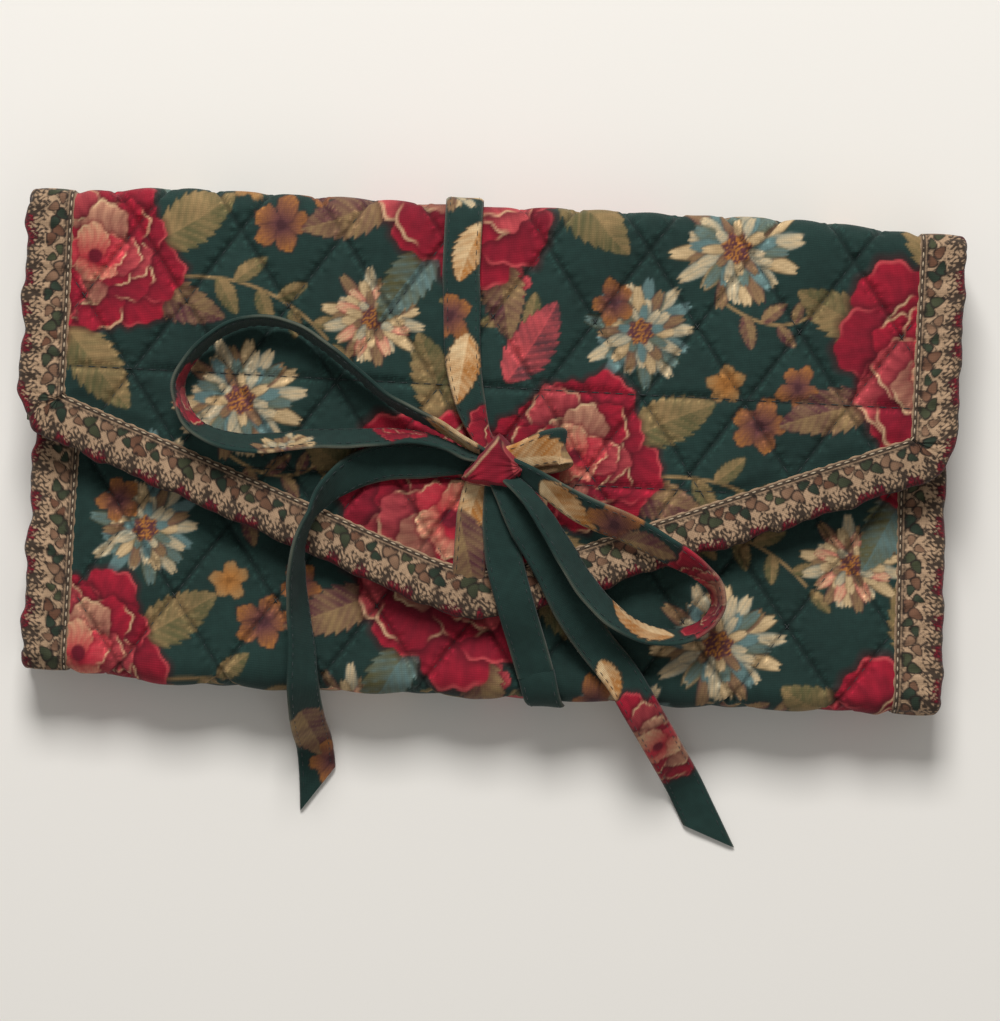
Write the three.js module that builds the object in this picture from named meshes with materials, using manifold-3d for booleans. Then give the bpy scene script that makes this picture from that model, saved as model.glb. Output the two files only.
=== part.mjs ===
// A quilted cotton jewelry roll, folded in three and tied with a bow.
// Millimetres, +Z up. It lies on its back; +Y is the side of the flap's fold, X runs along the roll.
import * as THREE from 'three';
import { mergeVertices } from 'three/addons/utils/BufferGeometryUtils.js';
import Module from 'manifold-3d';

const wasm = await Module();
wasm.setup();

// The closed roll
const BODY_WIDTH = 229;
const FLAP_OVERHANG = 3;
const FLAP_WIDTH = BODY_WIDTH + 2 * FLAP_OVERHANG;
const DEPTH = 122;
const ROLL_HEIGHT = 28.8;
const LEAF_HEIGHT = 22;
const LEAF_SLOPE = THREE.MathUtils.degToRad(4.5);
const FLAP_SIDE = 60;
const FLAP_REACH = 105;
const FLAP_CORNER = 10;
const POINT_ROUND = 14;
const LEAF_REACH = 68.5;
const LEAF_CORNER = 6;

// Layers of the quilted sheet
const LINING = 0.6;
const BATTING = 2.2;
const COVER = 0.7;
const LOFT = 1.8;
const BACK_COVER = 2.2;
const LAYER_GAP = 0.1;
const SEAT_GAP = 0.3;

// Folds
const PIVOT = 1.8;
const FOLD_ROUND = 2;
const TURN_CLEARANCE = 0.35;

// Binding round every edge
const BINDING_WIDTH = 11.7;
const BINDING_CLOTH = 0.8;
const BINDING_EDGE = 1;

// Diamond quilting
const DIAMOND_WIDTH = 25.6;
const DIAMOND_HEIGHT = 37;
const DIAMOND_STEPS = 4;
const FLAP_DIAMOND_Y = 34;
const LEAF_DIAMOND_Y = -40;

// Zippers
const FLAP_ZIP_DOWN = 56.35;
const BACK_ZIP_DOWN = 17.5;
const BACK_ZIP_INSET = 16.5;
const ZIP_END_CLEARANCE = 2.57;
const ZIP_TAPE_WIDTH = 11.6;
const ZIP_TAPE = 0.5;
const ZIP_WINDOW = 9;
const COIL_WIDTH = 1.8;
const COIL_THICK = 1.4;
const COIL_GAP = 1;
const TOOTH_PITCH = 5.6;
const TOOTH_DEPTH = 0.7;
const SLIDER_LENGTH = 8;
const SLIDER_WIDTH = 7;
const SLIDER_PLATE = 0.7;
const SLIDER_PARK = 10;
const PULL_LENGTH = 12;
const PULL_WIDTH = 5;
const PULL_THICK = 0.6;
const PULL_ARM = 0.8;
const PULL_SHOULDER = 4;
const PULL_BAR = 0.6;
const BRIDGE_WIDTH = 1.6;
const BRIDGE_WALL = 0.6;
const BRIDGE_PLAY = 0.25;

// Pockets and ring bar
const SLIP_POCKET_DEPTH = 40;
const RING_BAR_DOWN = 37;
const RING_BAR_INSET = 39.5;
const RING_BAR_RADIUS = 5;
const RING_TAB = 16;
const RING_TAB_WIDTH = 14;
const RING_TAB_CLOTH = 1.2;
const SNAP_RADIUS = 5;
const SNAP_HOLE = 2.2;
const SNAP_HEIGHT = 1.3;
const SNAP_RIM = 0.5;
const SNAP_SLOPE = 1.4;
const STUD_RADIUS = 1.8;
const STUD_NECK = 1.2;

// Tie
const TIE_WIDTH = 9.4;
const TIE_CLOTH = 1.2;
const TIE_TOP_X = -8.5;
const TIE_BOTTOM_X = 16.5;
const TAIL_SLANT = 11;
const TAIL_CUT = 16;

// Worked out from the sizes above
const HALF_DEPTH = DEPTH / 2;
const PANEL = LINING + BATTING + COVER + LOFT + 2 * LAYER_GAP;
const BACK_PANEL = LINING + BATTING + BACK_COVER + 2 * LAYER_GAP;
const BATTING_FOOT = LINING + LAYER_GAP;
const COVER_FOOT = BATTING_FOOT + BATTING + LAYER_GAP;
const COVER_TOP = COVER_FOOT + COVER;
const SPINE = BACK_PANEL;
const TURN_RADIUS = Math.hypot(SPINE - PIVOT, PIVOT);
const FOLD_END = HALF_DEPTH - PIVOT - TURN_RADIUS - TURN_CLEARANCE;
const FLAP_FACE = ROLL_HEIGHT - PANEL;
const LEAF_START = HALF_DEPTH - PIVOT - FOLD_END;
const TIE_OVER = PIVOT + TIE_CLOTH + SEAT_GAP;
const TIE_TURN = Math.sqrt(LEAF_START ** 2 - TIE_OVER ** 2) - SEAT_GAP;
const LEAF_DROP = LEAF_START * Math.sin(LEAF_SLOPE) + (PANEL - PIVOT) * Math.cos(LEAF_SLOPE);
const LEAF_FACE = LEAF_HEIGHT - PIVOT - LEAF_DROP;
const LAYER_INSET = BINDING_EDGE + SEAT_GAP;
const QUILT_INSET = BINDING_WIDTH + SEAT_GAP;
const POINT_TILT = Math.atan((FLAP_REACH - FLAP_SIDE) / (FLAP_WIDTH / 2));
const TIE_LIFT = TIE_CLOTH + SEAT_GAP;
const RING_BAR_Y = HALF_DEPTH - RING_BAR_DOWN;
const RING_BAR_LENGTH = BODY_WIDTH - 2 * RING_BAR_INSET;
const BACK_ZIP_Y = HALF_DEPTH - BACK_ZIP_DOWN;
const BACK_ZIP_LENGTH = BODY_WIDTH - 2 * BACK_ZIP_INSET;
const FLAP_ZIP_Y = HALF_DEPTH - FLAP_ZIP_DOWN;
const POINT_HEM = HALF_DEPTH - FLAP_REACH + BINDING_WIDTH / Math.cos(POINT_TILT);
const FLAP_ZIP_ROOM = (FLAP_ZIP_Y - ZIP_WINDOW / 2 - POINT_HEM) / Math.tan(POINT_TILT);
const FLAP_ZIP_RUN = FLAP_ZIP_ROOM - SLIDER_LENGTH / 2 - ZIP_END_CLEARANCE;
const FLAP_ZIP_LENGTH = 2 * (FLAP_ZIP_RUN + SLIDER_PARK);

const X = new THREE.Vector3(1, 0, 0);
const Y = new THREE.Vector3(0, 1, 0);
const Z = new THREE.Vector3(0, 0, 1);

const finishes = {
  print: new THREE.MeshStandardMaterial({ color: 0x2f4230, roughness: 0.9 }),
  batting: new THREE.MeshStandardMaterial({ color: 0xe8e4d8, roughness: 1 }),
  lining: new THREE.MeshStandardMaterial({ color: 0x5d6b45, roughness: 0.9 }),
  binding: new THREE.MeshStandardMaterial({ color: 0xa08a55, roughness: 0.9 }),
  tie: new THREE.MeshStandardMaterial({ color: 0x3d4a33, roughness: 0.9 }),
  tape: new THREE.MeshStandardMaterial({ color: 0x3b4630, roughness: 0.85 }),
  brass: new THREE.MeshStandardMaterial({ color: 0xb08d4a, roughness: 0.35, metalness: 1 }),
};

const roll = new THREE.Group();

function add(group, name, shape, finish) {
  const geometry = shape.isBufferGeometry ? shape : geometryOf(shape);
  const mesh = new THREE.Mesh(geometry, finishes[finish]);
  mesh.name = name;
  group.add(mesh);
  return mesh;
}

// Solids that are joined or cut
function solid(geometry) {
  const bare = new THREE.BufferGeometry();
  const loose = geometry.index ? geometry.toNonIndexed() : geometry;
  bare.setAttribute('position', loose.getAttribute('position').clone());
  const merged = mergeVertices(bare, 1e-4);
  const vertProperties = new Float32Array(merged.getAttribute('position').array);
  const triVerts = new Uint32Array(merged.index.array);
  return new wasm.Manifold(new wasm.Mesh({ numProp: 3, vertProperties, triVerts }));
}

function geometryOf(manifold) {
  const mesh = manifold.getMesh();
  const geometry = new THREE.BufferGeometry();
  geometry.setAttribute('position', new THREE.BufferAttribute(mesh.vertProperties, 3));
  geometry.setIndex(new THREE.BufferAttribute(mesh.triVerts, 1));
  return geometry;
}

const asSolid = (shape) => (shape.isBufferGeometry ? solid(shape) : shape);
const join = (first, ...others) => others.reduce((sum, next) => sum.add(asSolid(next)), asSolid(first));
const cut = (first, ...others) => others.reduce((rest, next) => rest.subtract(asSolid(next)), asSolid(first));
const common = (first, second) => asSolid(first).intersect(asSolid(second));

// A closed outline from corners [x, y, radius]; a corner without a radius is sharp.
function outline(corners) {
  const shape = new THREE.Shape();
  corners.forEach(([x, y, radius = 0], i) => {
    const here = new THREE.Vector2(x, y);
    const before = corners[(i + corners.length - 1) % corners.length];
    const after = corners[(i + 1) % corners.length];
    const back = new THREE.Vector2(before[0] - x, before[1] - y).setLength(radius).add(here);
    const ahead = new THREE.Vector2(after[0] - x, after[1] - y).setLength(radius).add(here);
    if (i === 0) shape.moveTo(back.x, back.y);
    else shape.lineTo(back.x, back.y);
    if (radius > 0) shape.quadraticCurveTo(x, y, ahead.x, ahead.y);
  });
  shape.closePath();
  return shape;
}

function prism(shape, low, high) {
  const options = { depth: high - low, bevelEnabled: false, curveSegments: 4 };
  return new THREE.ExtrudeGeometry(shape, options).translate(0, 0, low);
}

// A section drawn in (y, z) and run along x.
function alongX(shape, low, high) {
  return prism(shape, low, high).applyMatrix4(new THREE.Matrix4().makeBasis(Y, Z, X));
}

// A section drawn in (z, x) and run along y.
function alongY(shape, low, high) {
  return prism(shape, low, high).applyMatrix4(new THREE.Matrix4().makeBasis(Z, X, Y));
}

function block(xLow, xHigh, yLow, yHigh, zLow, zHigh) {
  const box = new THREE.BoxGeometry(xHigh - xLow, yHigh - yLow, zHigh - zLow);
  return box.translate((xLow + xHigh) / 2, (yLow + yHigh) / 2, (zLow + zHigh) / 2);
}

const rectangle = (xLow, xHigh, yLow, yHigh) => outline([
  [xLow, yLow], [xHigh, yLow], [xHigh, yHigh], [xLow, yHigh],
]);

// Height of the padding at a point of the diamond quilting: nothing on a seam, one in the middle.
function padding(x, y) {
  const falling = Math.abs(Math.sin(Math.PI * (x / DIAMOND_WIDTH + y / DIAMOND_HEIGHT)));
  const rising = Math.abs(Math.sin(Math.PI * (x / DIAMOND_WIDTH - y / DIAMOND_HEIGHT)));
  return Math.pow(falling * rising, 0.6);
}

// A padded slab between two heights, over whole diamonds, with its seams crossing at x = 0, y = crossing.
function quilting(halfWidth, yLow, yHigh, crossing, foot, seam, crown) {
  const stepX = DIAMOND_WIDTH / DIAMOND_STEPS;
  const stepY = DIAMOND_HEIGHT / DIAMOND_STEPS;
  const columns = 2 * Math.ceil(halfWidth / stepX);
  const firstRow = Math.floor((yLow - crossing) / stepY);
  const rows = Math.ceil((yHigh - crossing) / stepY) - firstRow;
  const points = [];
  const faces = [];
  const place = (column, row) => [(column - columns / 2) * stepX, (row + firstRow) * stepY];
  for (let row = 0; row <= rows; row += 1) {
    for (let column = 0; column <= columns; column += 1) {
      const [x, y] = place(column, row);
      points.push(x, y + crossing, seam + (crown - seam) * padding(x, y));
    }
  }
  const at = (column, row) => row * (columns + 1) + column;
  for (let row = 0; row < rows; row += 1) {
    for (let column = 0; column < columns; column += 1) {
      const a = at(column, row);
      const b = at(column + 1, row);
      const c = at(column + 1, row + 1);
      const d = at(column, row + 1);
      const even = (column - columns / 2 + row + firstRow) % 2 === 0;
      if (even) faces.push(a, b, c, a, c, d);
      else faces.push(a, b, d, b, c, d);
    }
  }
  const rim = [];
  for (let column = 0; column < columns; column += 1) rim.push(at(column, 0));
  for (let row = 0; row < rows; row += 1) rim.push(at(columns, row));
  for (let column = columns; column > 0; column -= 1) rim.push(at(column, rows));
  for (let row = rows; row > 0; row -= 1) rim.push(at(0, row));
  const below = points.length / 3;
  rim.forEach((index) => points.push(points[3 * index], points[3 * index + 1], foot));
  rim.forEach((index, i) => {
    const next = (i + 1) % rim.length;
    faces.push(index, below + i, below + next, index, below + next, rim[next]);
  });
  const loop = rim.map((index) => new THREE.Vector2(points[3 * index], points[3 * index + 1]));
  const floor = THREE.ShapeUtils.triangulateShape(loop, []);
  floor.forEach(([a, b, c]) => faces.push(below + a, below + c, below + b));
  const geometry = new THREE.BufferGeometry();
  geometry.setAttribute('position', new THREE.Float32BufferAttribute(points, 3));
  geometry.setIndex(faces);
  return geometry;
}

// Outline of the flap, drawn in by an inset, from the fold to its point.
function flapOutline(inset, top = FOLD_END) {
  const half = FLAP_WIDTH / 2 - inset;
  const tip = HALF_DEPTH - FLAP_REACH + inset / Math.cos(POINT_TILT);
  const corner = tip + half * Math.tan(POINT_TILT);
  const round = Math.max(FLAP_CORNER - inset, 0.5);
  return outline([
    [-half, top], [-half, corner, round], [0, tip, POINT_ROUND], [half, corner, round], [half, top],
  ]);
}

// Outline of the front leaf in its own frame, whose origin is its fold's pivot.
function leafOutline(inset, bottom = LEAF_START) {
  const half = BODY_WIDTH / 2 - inset;
  const top = LEAF_REACH - inset;
  const round = Math.max(LEAF_CORNER - inset, 0.5);
  return outline([[-half, bottom], [half, bottom], [half, top, round], [-half, top, round]]);
}

// A binding folded over the edge of a panel, whose inner face lies at face.
function edgeBinding(outlineAt, face, openEnd) {
  const under = face - LAYER_GAP;
  const over = face + COVER_TOP + LAYER_GAP;
  const outer = prism(outlineAt(0), under - BINDING_CLOTH, over + BINDING_CLOTH);
  const middle = prism(outlineAt(BINDING_WIDTH, openEnd), face - PANEL, face + 2 * PANEL);
  const slot = prism(outlineAt(BINDING_EDGE, openEnd), under, over);
  return cut(outer, middle, slot);
}

// The tunnel that a zipper set in a lining leaves in the batting, above the lining's inner face.
function zipTunnel(y, face, inward, length) {
  const reach = length / 2 + SEAT_GAP;
  const half = COIL_GAP / 2 + ZIP_TAPE_WIDTH + SEAT_GAP;
  const tapeRoof = LINING + 2 * LAYER_GAP + ZIP_TAPE + LAYER_GAP;
  const sliderRoof = tapeRoof + SLIDER_PLATE + 2 * LAYER_GAP;
  const level = (depth) => face - inward * depth;
  const span = (depth) => [Math.min(level(0), level(depth)), Math.max(level(0), level(depth))];
  const tapes = block(-reach, reach, y - half, y + half, ...span(tapeRoof));
  const window = ZIP_WINDOW / 2;
  const sliderWay = block(-reach, reach, y - window, y + window, ...span(sliderRoof));
  return join(tapes, sliderWay);
}

// Back panel: it lies on the table, its cover is flat there and has a groove for the tie.
function buildBack() {
  const half = BODY_WIDTH / 2;
  const inner = half - LAYER_INSET;
  const padHalf = half - QUILT_INSET;
  const margin = BINDING_CLOTH + 2 * LAYER_GAP;
  const base = block(-inner, inner, -FOLD_END, FOLD_END, margin, BACK_COVER);
  const pad = block(-padHalf, padHalf, -FOLD_END, FOLD_END, 0, margin + LAYER_GAP);
  const groove = prism(tieBackOutline(SEAT_GAP, FOLD_END + 1), -1, TIE_CLOTH + SEAT_GAP);
  add(roll, 'back_cover', cut(join(base, pad), groove), 'print');

  const batFoot = BACK_COVER + LAYER_GAP;
  const batting = block(-inner, inner, -FOLD_END, FOLD_END, batFoot, batFoot + BATTING);
  add(roll, 'back_batting', cut(batting, zipTunnel(BACK_ZIP_Y, BACK_PANEL, 1, BACK_ZIP_LENGTH)), 'batting');

  const liningFoot = BACK_PANEL - LINING;
  const windowLow = BACK_ZIP_Y - ZIP_WINDOW / 2;
  const windowHigh = BACK_ZIP_Y + ZIP_WINDOW / 2;
  add(roll, 'back_lining', block(-inner, inner, windowHigh, FOLD_END, liningFoot, BACK_PANEL), 'lining');
  add(roll, 'back_pocket', block(-inner, inner, -FOLD_END, windowLow, liningFoot, BACK_PANEL), 'lining');

  const low = LAYER_GAP;
  const high = BACK_PANEL + LAYER_GAP + BINDING_CLOTH;
  [-1, 1].forEach((side) => {
    const name = side < 0 ? 'back_binding_left' : 'back_binding_right';
    const edge = side * half;
    const wall = side * (half - BINDING_EDGE);
    const hem = side * (half - BINDING_WIDTH);
    const section = outline([
      [low, hem], [low, edge, FOLD_ROUND], [high, edge, FOLD_ROUND], [high, hem],
      [high - BINDING_CLOTH, hem], [high - BINDING_CLOTH, wall], [low + BINDING_CLOTH, wall],
      [low + BINDING_CLOTH, hem],
    ]);
    add(roll, name, alongY(section, -FOLD_END, FOLD_END), 'binding');
  });
}

// A fold: the strip of sheet that stands between two panels, on the +Y or the -Y side.
function buildFold(name, side, halfWidth, height, innerTop) {
  const outer = HALF_DEPTH;
  const coverInner = outer - BACK_COVER;
  const battingInner = coverInner - LAYER_GAP - BATTING;
  const liningInner = battingInner - LAYER_GAP - LINING;
  const low = TIE_LIFT;
  const high = height - LAYER_GAP;
  const inner = halfWidth - LAYER_INSET;
  const padHalf = halfWidth - QUILT_INSET;
  const margin = BINDING_CLOTH + 2 * LAYER_GAP;
  const strip = (yLow, yHigh, x, round) => alongX(outline([
    [side * yLow, low], [side * yHigh, low, round], [side * yHigh, high, round], [side * yLow, high],
  ]), -x, x);
  const pad = strip(coverInner, outer, padHalf, FOLD_ROUND);
  const base = strip(coverInner, outer - margin, inner, 0);
  add(roll, `${name}_cover`, join(pad, base), 'print');
  add(roll, `${name}_batting`, strip(battingInner, battingInner + BATTING, inner, 0), 'batting');
  add(roll, `${name}_lining`, strip(liningInner, liningInner + LINING, inner, 0), 'lining');

  const face = outer - LAYER_GAP;
  const faceInner = face - BINDING_CLOTH;
  const legLow = BACK_PANEL + LAYER_GAP + BINDING_CLOTH + SEAT_GAP;
  const legHigh = innerTop - LAYER_GAP - BINDING_CLOTH - SEAT_GAP;
  const legOuter = liningInner - LAYER_GAP;
  const legInner = legOuter - BINDING_CLOTH;
  [-1, 1].forEach((end) => {
    const edge = end * halfWidth;
    const wall = end * (halfWidth - BINDING_EDGE);
    const hem = end * (halfWidth - BINDING_WIDTH);
    const shell = outline([
      [hem, side * face], [edge, side * face, BINDING_CLOTH], [edge, side * liningInner],
      [wall, side * liningInner], [wall, side * faceInner], [hem, side * faceInner],
    ]);
    const leg = outline([
      [hem, side * legInner], [edge, side * legInner], [edge, side * (liningInner + SEAT_GAP)],
      [wall, side * (liningInner + SEAT_GAP)], [wall, side * legOuter], [hem, side * legOuter],
    ]);
    const binding = join(prism(shell, low, high), prism(leg, legLow, legHigh));
    add(roll, `${name}_binding_${end < 0 ? 'left' : 'right'}`, binding, 'binding');
  });
}

// Flap: level, with its lining downwards and its quilted cover on top.
function buildFlap() {
  const slab = (inset, low, high) => prism(flapOutline(inset), FLAP_FACE + low, FLAP_FACE + high);
  const base = slab(LAYER_INSET, COVER_FOOT, COVER_TOP);
  const field = quilting(FLAP_WIDTH / 2, HALF_DEPTH - FLAP_REACH, FOLD_END, FLAP_DIAMOND_Y,
    FLAP_FACE + COVER_FOOT + COVER / 2, FLAP_FACE + COVER_TOP + LAYER_GAP, ROLL_HEIGHT);
  const window = prism(flapOutline(QUILT_INSET), FLAP_FACE, ROLL_HEIGHT + LOFT);
  add(roll, 'flap_cover', join(base, common(field, window)), 'print');
  const batting = slab(LAYER_INSET, BATTING_FOOT, BATTING_FOOT + BATTING);
  add(roll, 'flap_batting', cut(batting, zipTunnel(FLAP_ZIP_Y, FLAP_FACE, -1, FLAP_ZIP_LENGTH)), 'batting');

  const reach = FLAP_WIDTH;
  const half = ZIP_WINDOW / 2;
  const foldSide = block(-reach, reach, FLAP_ZIP_Y + half, DEPTH, 0, ROLL_HEIGHT);
  const pointSide = block(-reach, reach, -DEPTH, FLAP_ZIP_Y - half, 0, ROLL_HEIGHT);
  add(roll, 'flap_lining', common(slab(LAYER_INSET, 0, LINING), foldSide), 'lining');
  add(roll, 'flap_pocket', common(slab(LAYER_INSET, 0, LINING), pointSide), 'lining');
  add(roll, 'flap_binding', edgeBinding(flapOutline, FLAP_FACE, FOLD_END + 1), 'binding');
}

// Front leaf: it slopes from the bottom fold down to its free edge under the flap.
function buildFront() {
  const leaf = new THREE.Group();
  leaf.position.set(0, PIVOT - HALF_DEPTH, LEAF_HEIGHT - PIVOT);
  leaf.rotation.x = -LEAF_SLOPE;
  roll.add(leaf);
  const face = PIVOT - PANEL;
  const slab = (low, high) => prism(leafOutline(LAYER_INSET), face + low, face + high);
  const crossing = LEAF_DIAMOND_Y + HALF_DEPTH - PIVOT;
  const field = quilting(BODY_WIDTH / 2, LEAF_START, LEAF_REACH, crossing,
    face + COVER_FOOT + COVER / 2, face + COVER_TOP + LAYER_GAP, face + PANEL);
  const window = prism(leafOutline(QUILT_INSET), face, face + 2 * PANEL);
  add(leaf, 'front_cover', join(slab(COVER_FOOT, COVER_TOP), common(field, window)), 'print');
  add(leaf, 'front_batting', slab(BATTING_FOOT, BATTING_FOOT + BATTING), 'batting');
  add(leaf, 'front_lining', slab(0, LINING), 'lining');
  add(leaf, 'front_binding', edgeBinding(leafOutline, face, LEAF_START - 1), 'binding');
  const pocketHalf = BODY_WIDTH / 2 - QUILT_INSET;
  const pocketLow = LEAF_START + SEAT_GAP;
  const pocketTop = face - LAYER_GAP;
  const pocketHigh = pocketLow + SLIP_POCKET_DEPTH;
  const pocket = block(-pocketHalf, pocketHalf, pocketLow, pocketHigh, pocketTop - LINING, pocketTop);
  add(leaf, 'front_pocket', pocket, 'lining');
}

// A zipper set in a lining. Its frame has the lining's inner face at z = 0 and the room below it.
function buildZip(name, y, face, inward, length) {
  const zip = new THREE.Group();
  zip.position.set(0, y, face);
  if (inward > 0) zip.rotation.x = Math.PI;
  roll.add(zip);

  const end = length / 2;
  const tapeLow = LINING + LAYER_GAP;
  const tapeHigh = tapeLow + ZIP_TAPE;
  const coilLow = tapeHigh - COIL_THICK;
  const coilInner = COIL_GAP / 2;
  [-1, 1].forEach((side) => {
    const tape = block(-end, end, coilInner + TOOTH_DEPTH, coilInner + ZIP_TAPE_WIDTH, tapeLow, tapeHigh);
    const comb = new THREE.Shape();
    comb.moveTo(-end, coilInner + COIL_WIDTH);
    comb.lineTo(-end, coilInner + TOOTH_DEPTH);
    const teeth = Math.floor(length / TOOTH_PITCH);
    const start = -teeth * TOOTH_PITCH / 2;
    for (let tooth = 0; tooth < teeth; tooth += 1) {
      const x = start + (tooth + (side < 0 ? 0.1 : 0.6)) * TOOTH_PITCH;
      const stop = Math.min(x + TOOTH_PITCH * 0.35, end - LAYER_GAP);
      comb.lineTo(x, coilInner + TOOTH_DEPTH);
      comb.lineTo(x, coilInner);
      comb.lineTo(stop, coilInner);
      comb.lineTo(stop, coilInner + TOOTH_DEPTH);
    }
    comb.lineTo(end, coilInner + TOOTH_DEPTH);
    comb.lineTo(end, coilInner + COIL_WIDTH);
    const half = join(tape, prism(comb, coilLow, tapeHigh));
    const label = side * inward > 0 ? 'fold' : 'point';
    const geometry = geometryOf(half);
    if (side < 0) geometry.rotateZ(Math.PI);
    add(zip, `${name}_zip_tape_${label}`, geometry, 'tape');
  });

  const plateTop = tapeHigh + LAYER_GAP + SLIDER_PLATE;
  const faceTop = coilLow - LAYER_GAP;
  const faceLow = faceTop - SLIDER_PLATE;
  const pivotZ = faceLow - BRIDGE_PLAY - PULL_BAR / 2;
  const park = end - SLIDER_PARK;
  buildSlider(zip, name, park, { plateTop, faceTop, faceLow, pivotZ });
  buildPull(zip, name, park, pivotZ);
}

// Slider: two shield plates on a thin neck between the coils, with a bridge for the pull.
function buildSlider(zip, name, park, { plateTop, faceTop, faceLow, pivotZ }) {
  const nose = SLIDER_LENGTH / 2;
  const half = SLIDER_WIDTH / 2;
  const shield = outline([
    [park - nose, -half * 0.7, 1], [park + nose, -half, 2],
    [park + nose, half, 2], [park - nose, half * 0.7, 1],
  ]);
  const neckHalf = (COIL_GAP - 2 * BRIDGE_PLAY) / 2;
  const neckEnd = park + nose - 1;
  const neck = block(neckEnd - 2, neckEnd, -neckHalf, neckHalf, faceLow + LAYER_GAP, plateTop - LAYER_GAP);
  const opening = PULL_BAR / 2 + BRIDGE_PLAY;
  const legs = opening + BRIDGE_WALL;
  const crown = pivotZ - opening - BRIDGE_WALL;
  const arch = outline([
    [faceTop, -legs], [crown, -legs, 0.5], [crown, legs, 0.5], [faceTop, legs],
  ]);
  arch.holes.push(rectangle(pivotZ - opening, pivotZ + opening, -opening, opening));
  const bridge = alongY(arch, -BRIDGE_WIDTH / 2, BRIDGE_WIDTH / 2).translate(park, 0, 0);
  const facePlate = prism(shield, faceLow, faceTop);
  const backPlate = prism(shield, plateTop - SLIDER_PLATE, plateTop);
  add(zip, `${name}_zip_slider`, join(facePlate, backPlate, neck, bridge), 'brass');
}

// Pull: a flat tab that lies along the coil and hangs on the bridge by its end bar.
function buildPull(zip, name, park, pivotZ) {
  const half = PULL_WIDTH / 2;
  const eye = BRIDGE_WIDTH / 2 + 2 * BRIDGE_PLAY;
  const root = eye + PULL_ARM;
  const bar = PULL_BAR / 2;
  const far = -PULL_LENGTH;
  const shoulder = -PULL_SHOULDER;
  const tab = outline([
    [bar, -root], [bar, root], [shoulder, half, 1],
    [far, half, 2], [far, -half, 2], [shoulder, -half, 1],
  ]);
  tab.holes.push(rectangle(shoulder + PULL_ARM, -bar, -eye, eye));
  const low = pivotZ - PULL_THICK / 2;
  const pull = prism(tab, low, low + PULL_THICK).translate(park, 0, 0);
  add(zip, `${name}_zip_pull`, pull, 'brass');
}

// Ring bar: a stuffed roll with flat ends, one sewn to the lining and one held by a snap.
function buildRingBar() {
  const floor = BACK_PANEL + SEAT_GAP;
  const tabFloor = BACK_PANEL + LAYER_GAP + SNAP_HEIGHT + SEAT_GAP;
  const flat = RING_TAB_CLOTH / 2;
  const wide = RING_TAB_WIDTH / 2;
  const half = RING_BAR_LENGTH / 2;
  const taper = 2 * RING_BAR_RADIUS;
  const sections = [
    [-half - RING_TAB, flat, wide, floor],
    [-half, flat, wide, floor],
    [-half + taper * 0.5, RING_BAR_RADIUS * 0.75, RING_BAR_RADIUS * 1.15, floor],
    [-half + taper, RING_BAR_RADIUS, RING_BAR_RADIUS, floor],
    [half - taper, RING_BAR_RADIUS, RING_BAR_RADIUS, floor],
    [half - taper * 0.5, RING_BAR_RADIUS * 0.75, RING_BAR_RADIUS * 1.15, floor],
    [half, flat, wide, tabFloor],
    [half + RING_TAB, flat, wide, tabFloor],
  ];
  const sides = 14;
  const rings = sections.map(([x, high, broad, foot]) => {
    const ring = [];
    for (let i = 0; i < sides; i += 1) {
      const turn = (2 * Math.PI * i) / sides;
      const y = RING_BAR_Y + broad * Math.cos(turn);
      ring.push(new THREE.Vector3(x, y, foot + high + high * Math.sin(turn)));
    }
    return ring;
  });
  const snapX = half + RING_TAB / 2;
  const play = STUD_NECK + SEAT_GAP;
  const hole = new THREE.CylinderGeometry(play, play, 4 * RING_TAB_CLOTH, 12).rotateX(Math.PI / 2);
  hole.translate(snapX, RING_BAR_Y, tabFloor + flat);
  add(roll, 'ring_bar_roll', cut(loft(rings), hole), 'print');

  const crown = SNAP_RADIUS - SNAP_SLOPE;
  const socket = [
    [SNAP_HOLE, 0], [SNAP_RADIUS, 0], [SNAP_RADIUS, SNAP_RIM],
    [crown, SNAP_HEIGHT], [SNAP_HOLE, SNAP_HEIGHT],
  ];
  socket.push(socket[0]);
  const tabTop = tabFloor + RING_TAB_CLOTH;
  const studFoot = BACK_PANEL + 2 * SEAT_GAP;
  const headFoot = tabTop + LAYER_GAP;
  const studTop = tabFloor - LAYER_GAP;
  const stud = [
    [0, studFoot], [STUD_RADIUS, studFoot], [STUD_RADIUS, studTop], [STUD_NECK, studTop],
    [STUD_NECK, headFoot], [SNAP_RADIUS, headFoot], [SNAP_RADIUS, headFoot + SNAP_RIM],
    [crown, headFoot + SNAP_HEIGHT], [0, headFoot + SNAP_HEIGHT + 2 * LAYER_GAP],
  ];
  const turned = (profile, z) => {
    const points = profile.map(([r, h]) => new THREE.Vector2(r, h));
    return new THREE.LatheGeometry(points, 20).rotateX(Math.PI / 2).translate(snapX, RING_BAR_Y, z);
  };
  add(roll, 'snap_socket', turned(socket, BACK_PANEL + LAYER_GAP), 'brass');
  add(roll, 'snap_stud', turned(stud, 0), 'brass');
}

// A closed skin over rings of equal counts, in order along a route.
function loft(rings) {
  const sides = rings[0].length;
  const points = rings.flat().flatMap((point) => [point.x, point.y, point.z]);
  const faces = [];
  for (let ring = 0; ring + 1 < rings.length; ring += 1) {
    for (let side = 0; side < sides; side += 1) {
      const a = ring * sides + side;
      const b = ring * sides + ((side + 1) % sides);
      faces.push(a, b, b + sides, a, b + sides, a + sides);
    }
  }
  const last = (rings.length - 1) * sides;
  for (let side = 1; side + 1 < sides; side += 1) {
    faces.push(0, side + 1, side, last, last + side, last + side + 1);
  }
  const geometry = new THREE.BufferGeometry();
  geometry.setAttribute('position', new THREE.Float32BufferAttribute(points, 3));
  geometry.setIndex(faces);
  return volume(geometry) < 0 ? flipped(geometry) : geometry;
}

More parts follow.
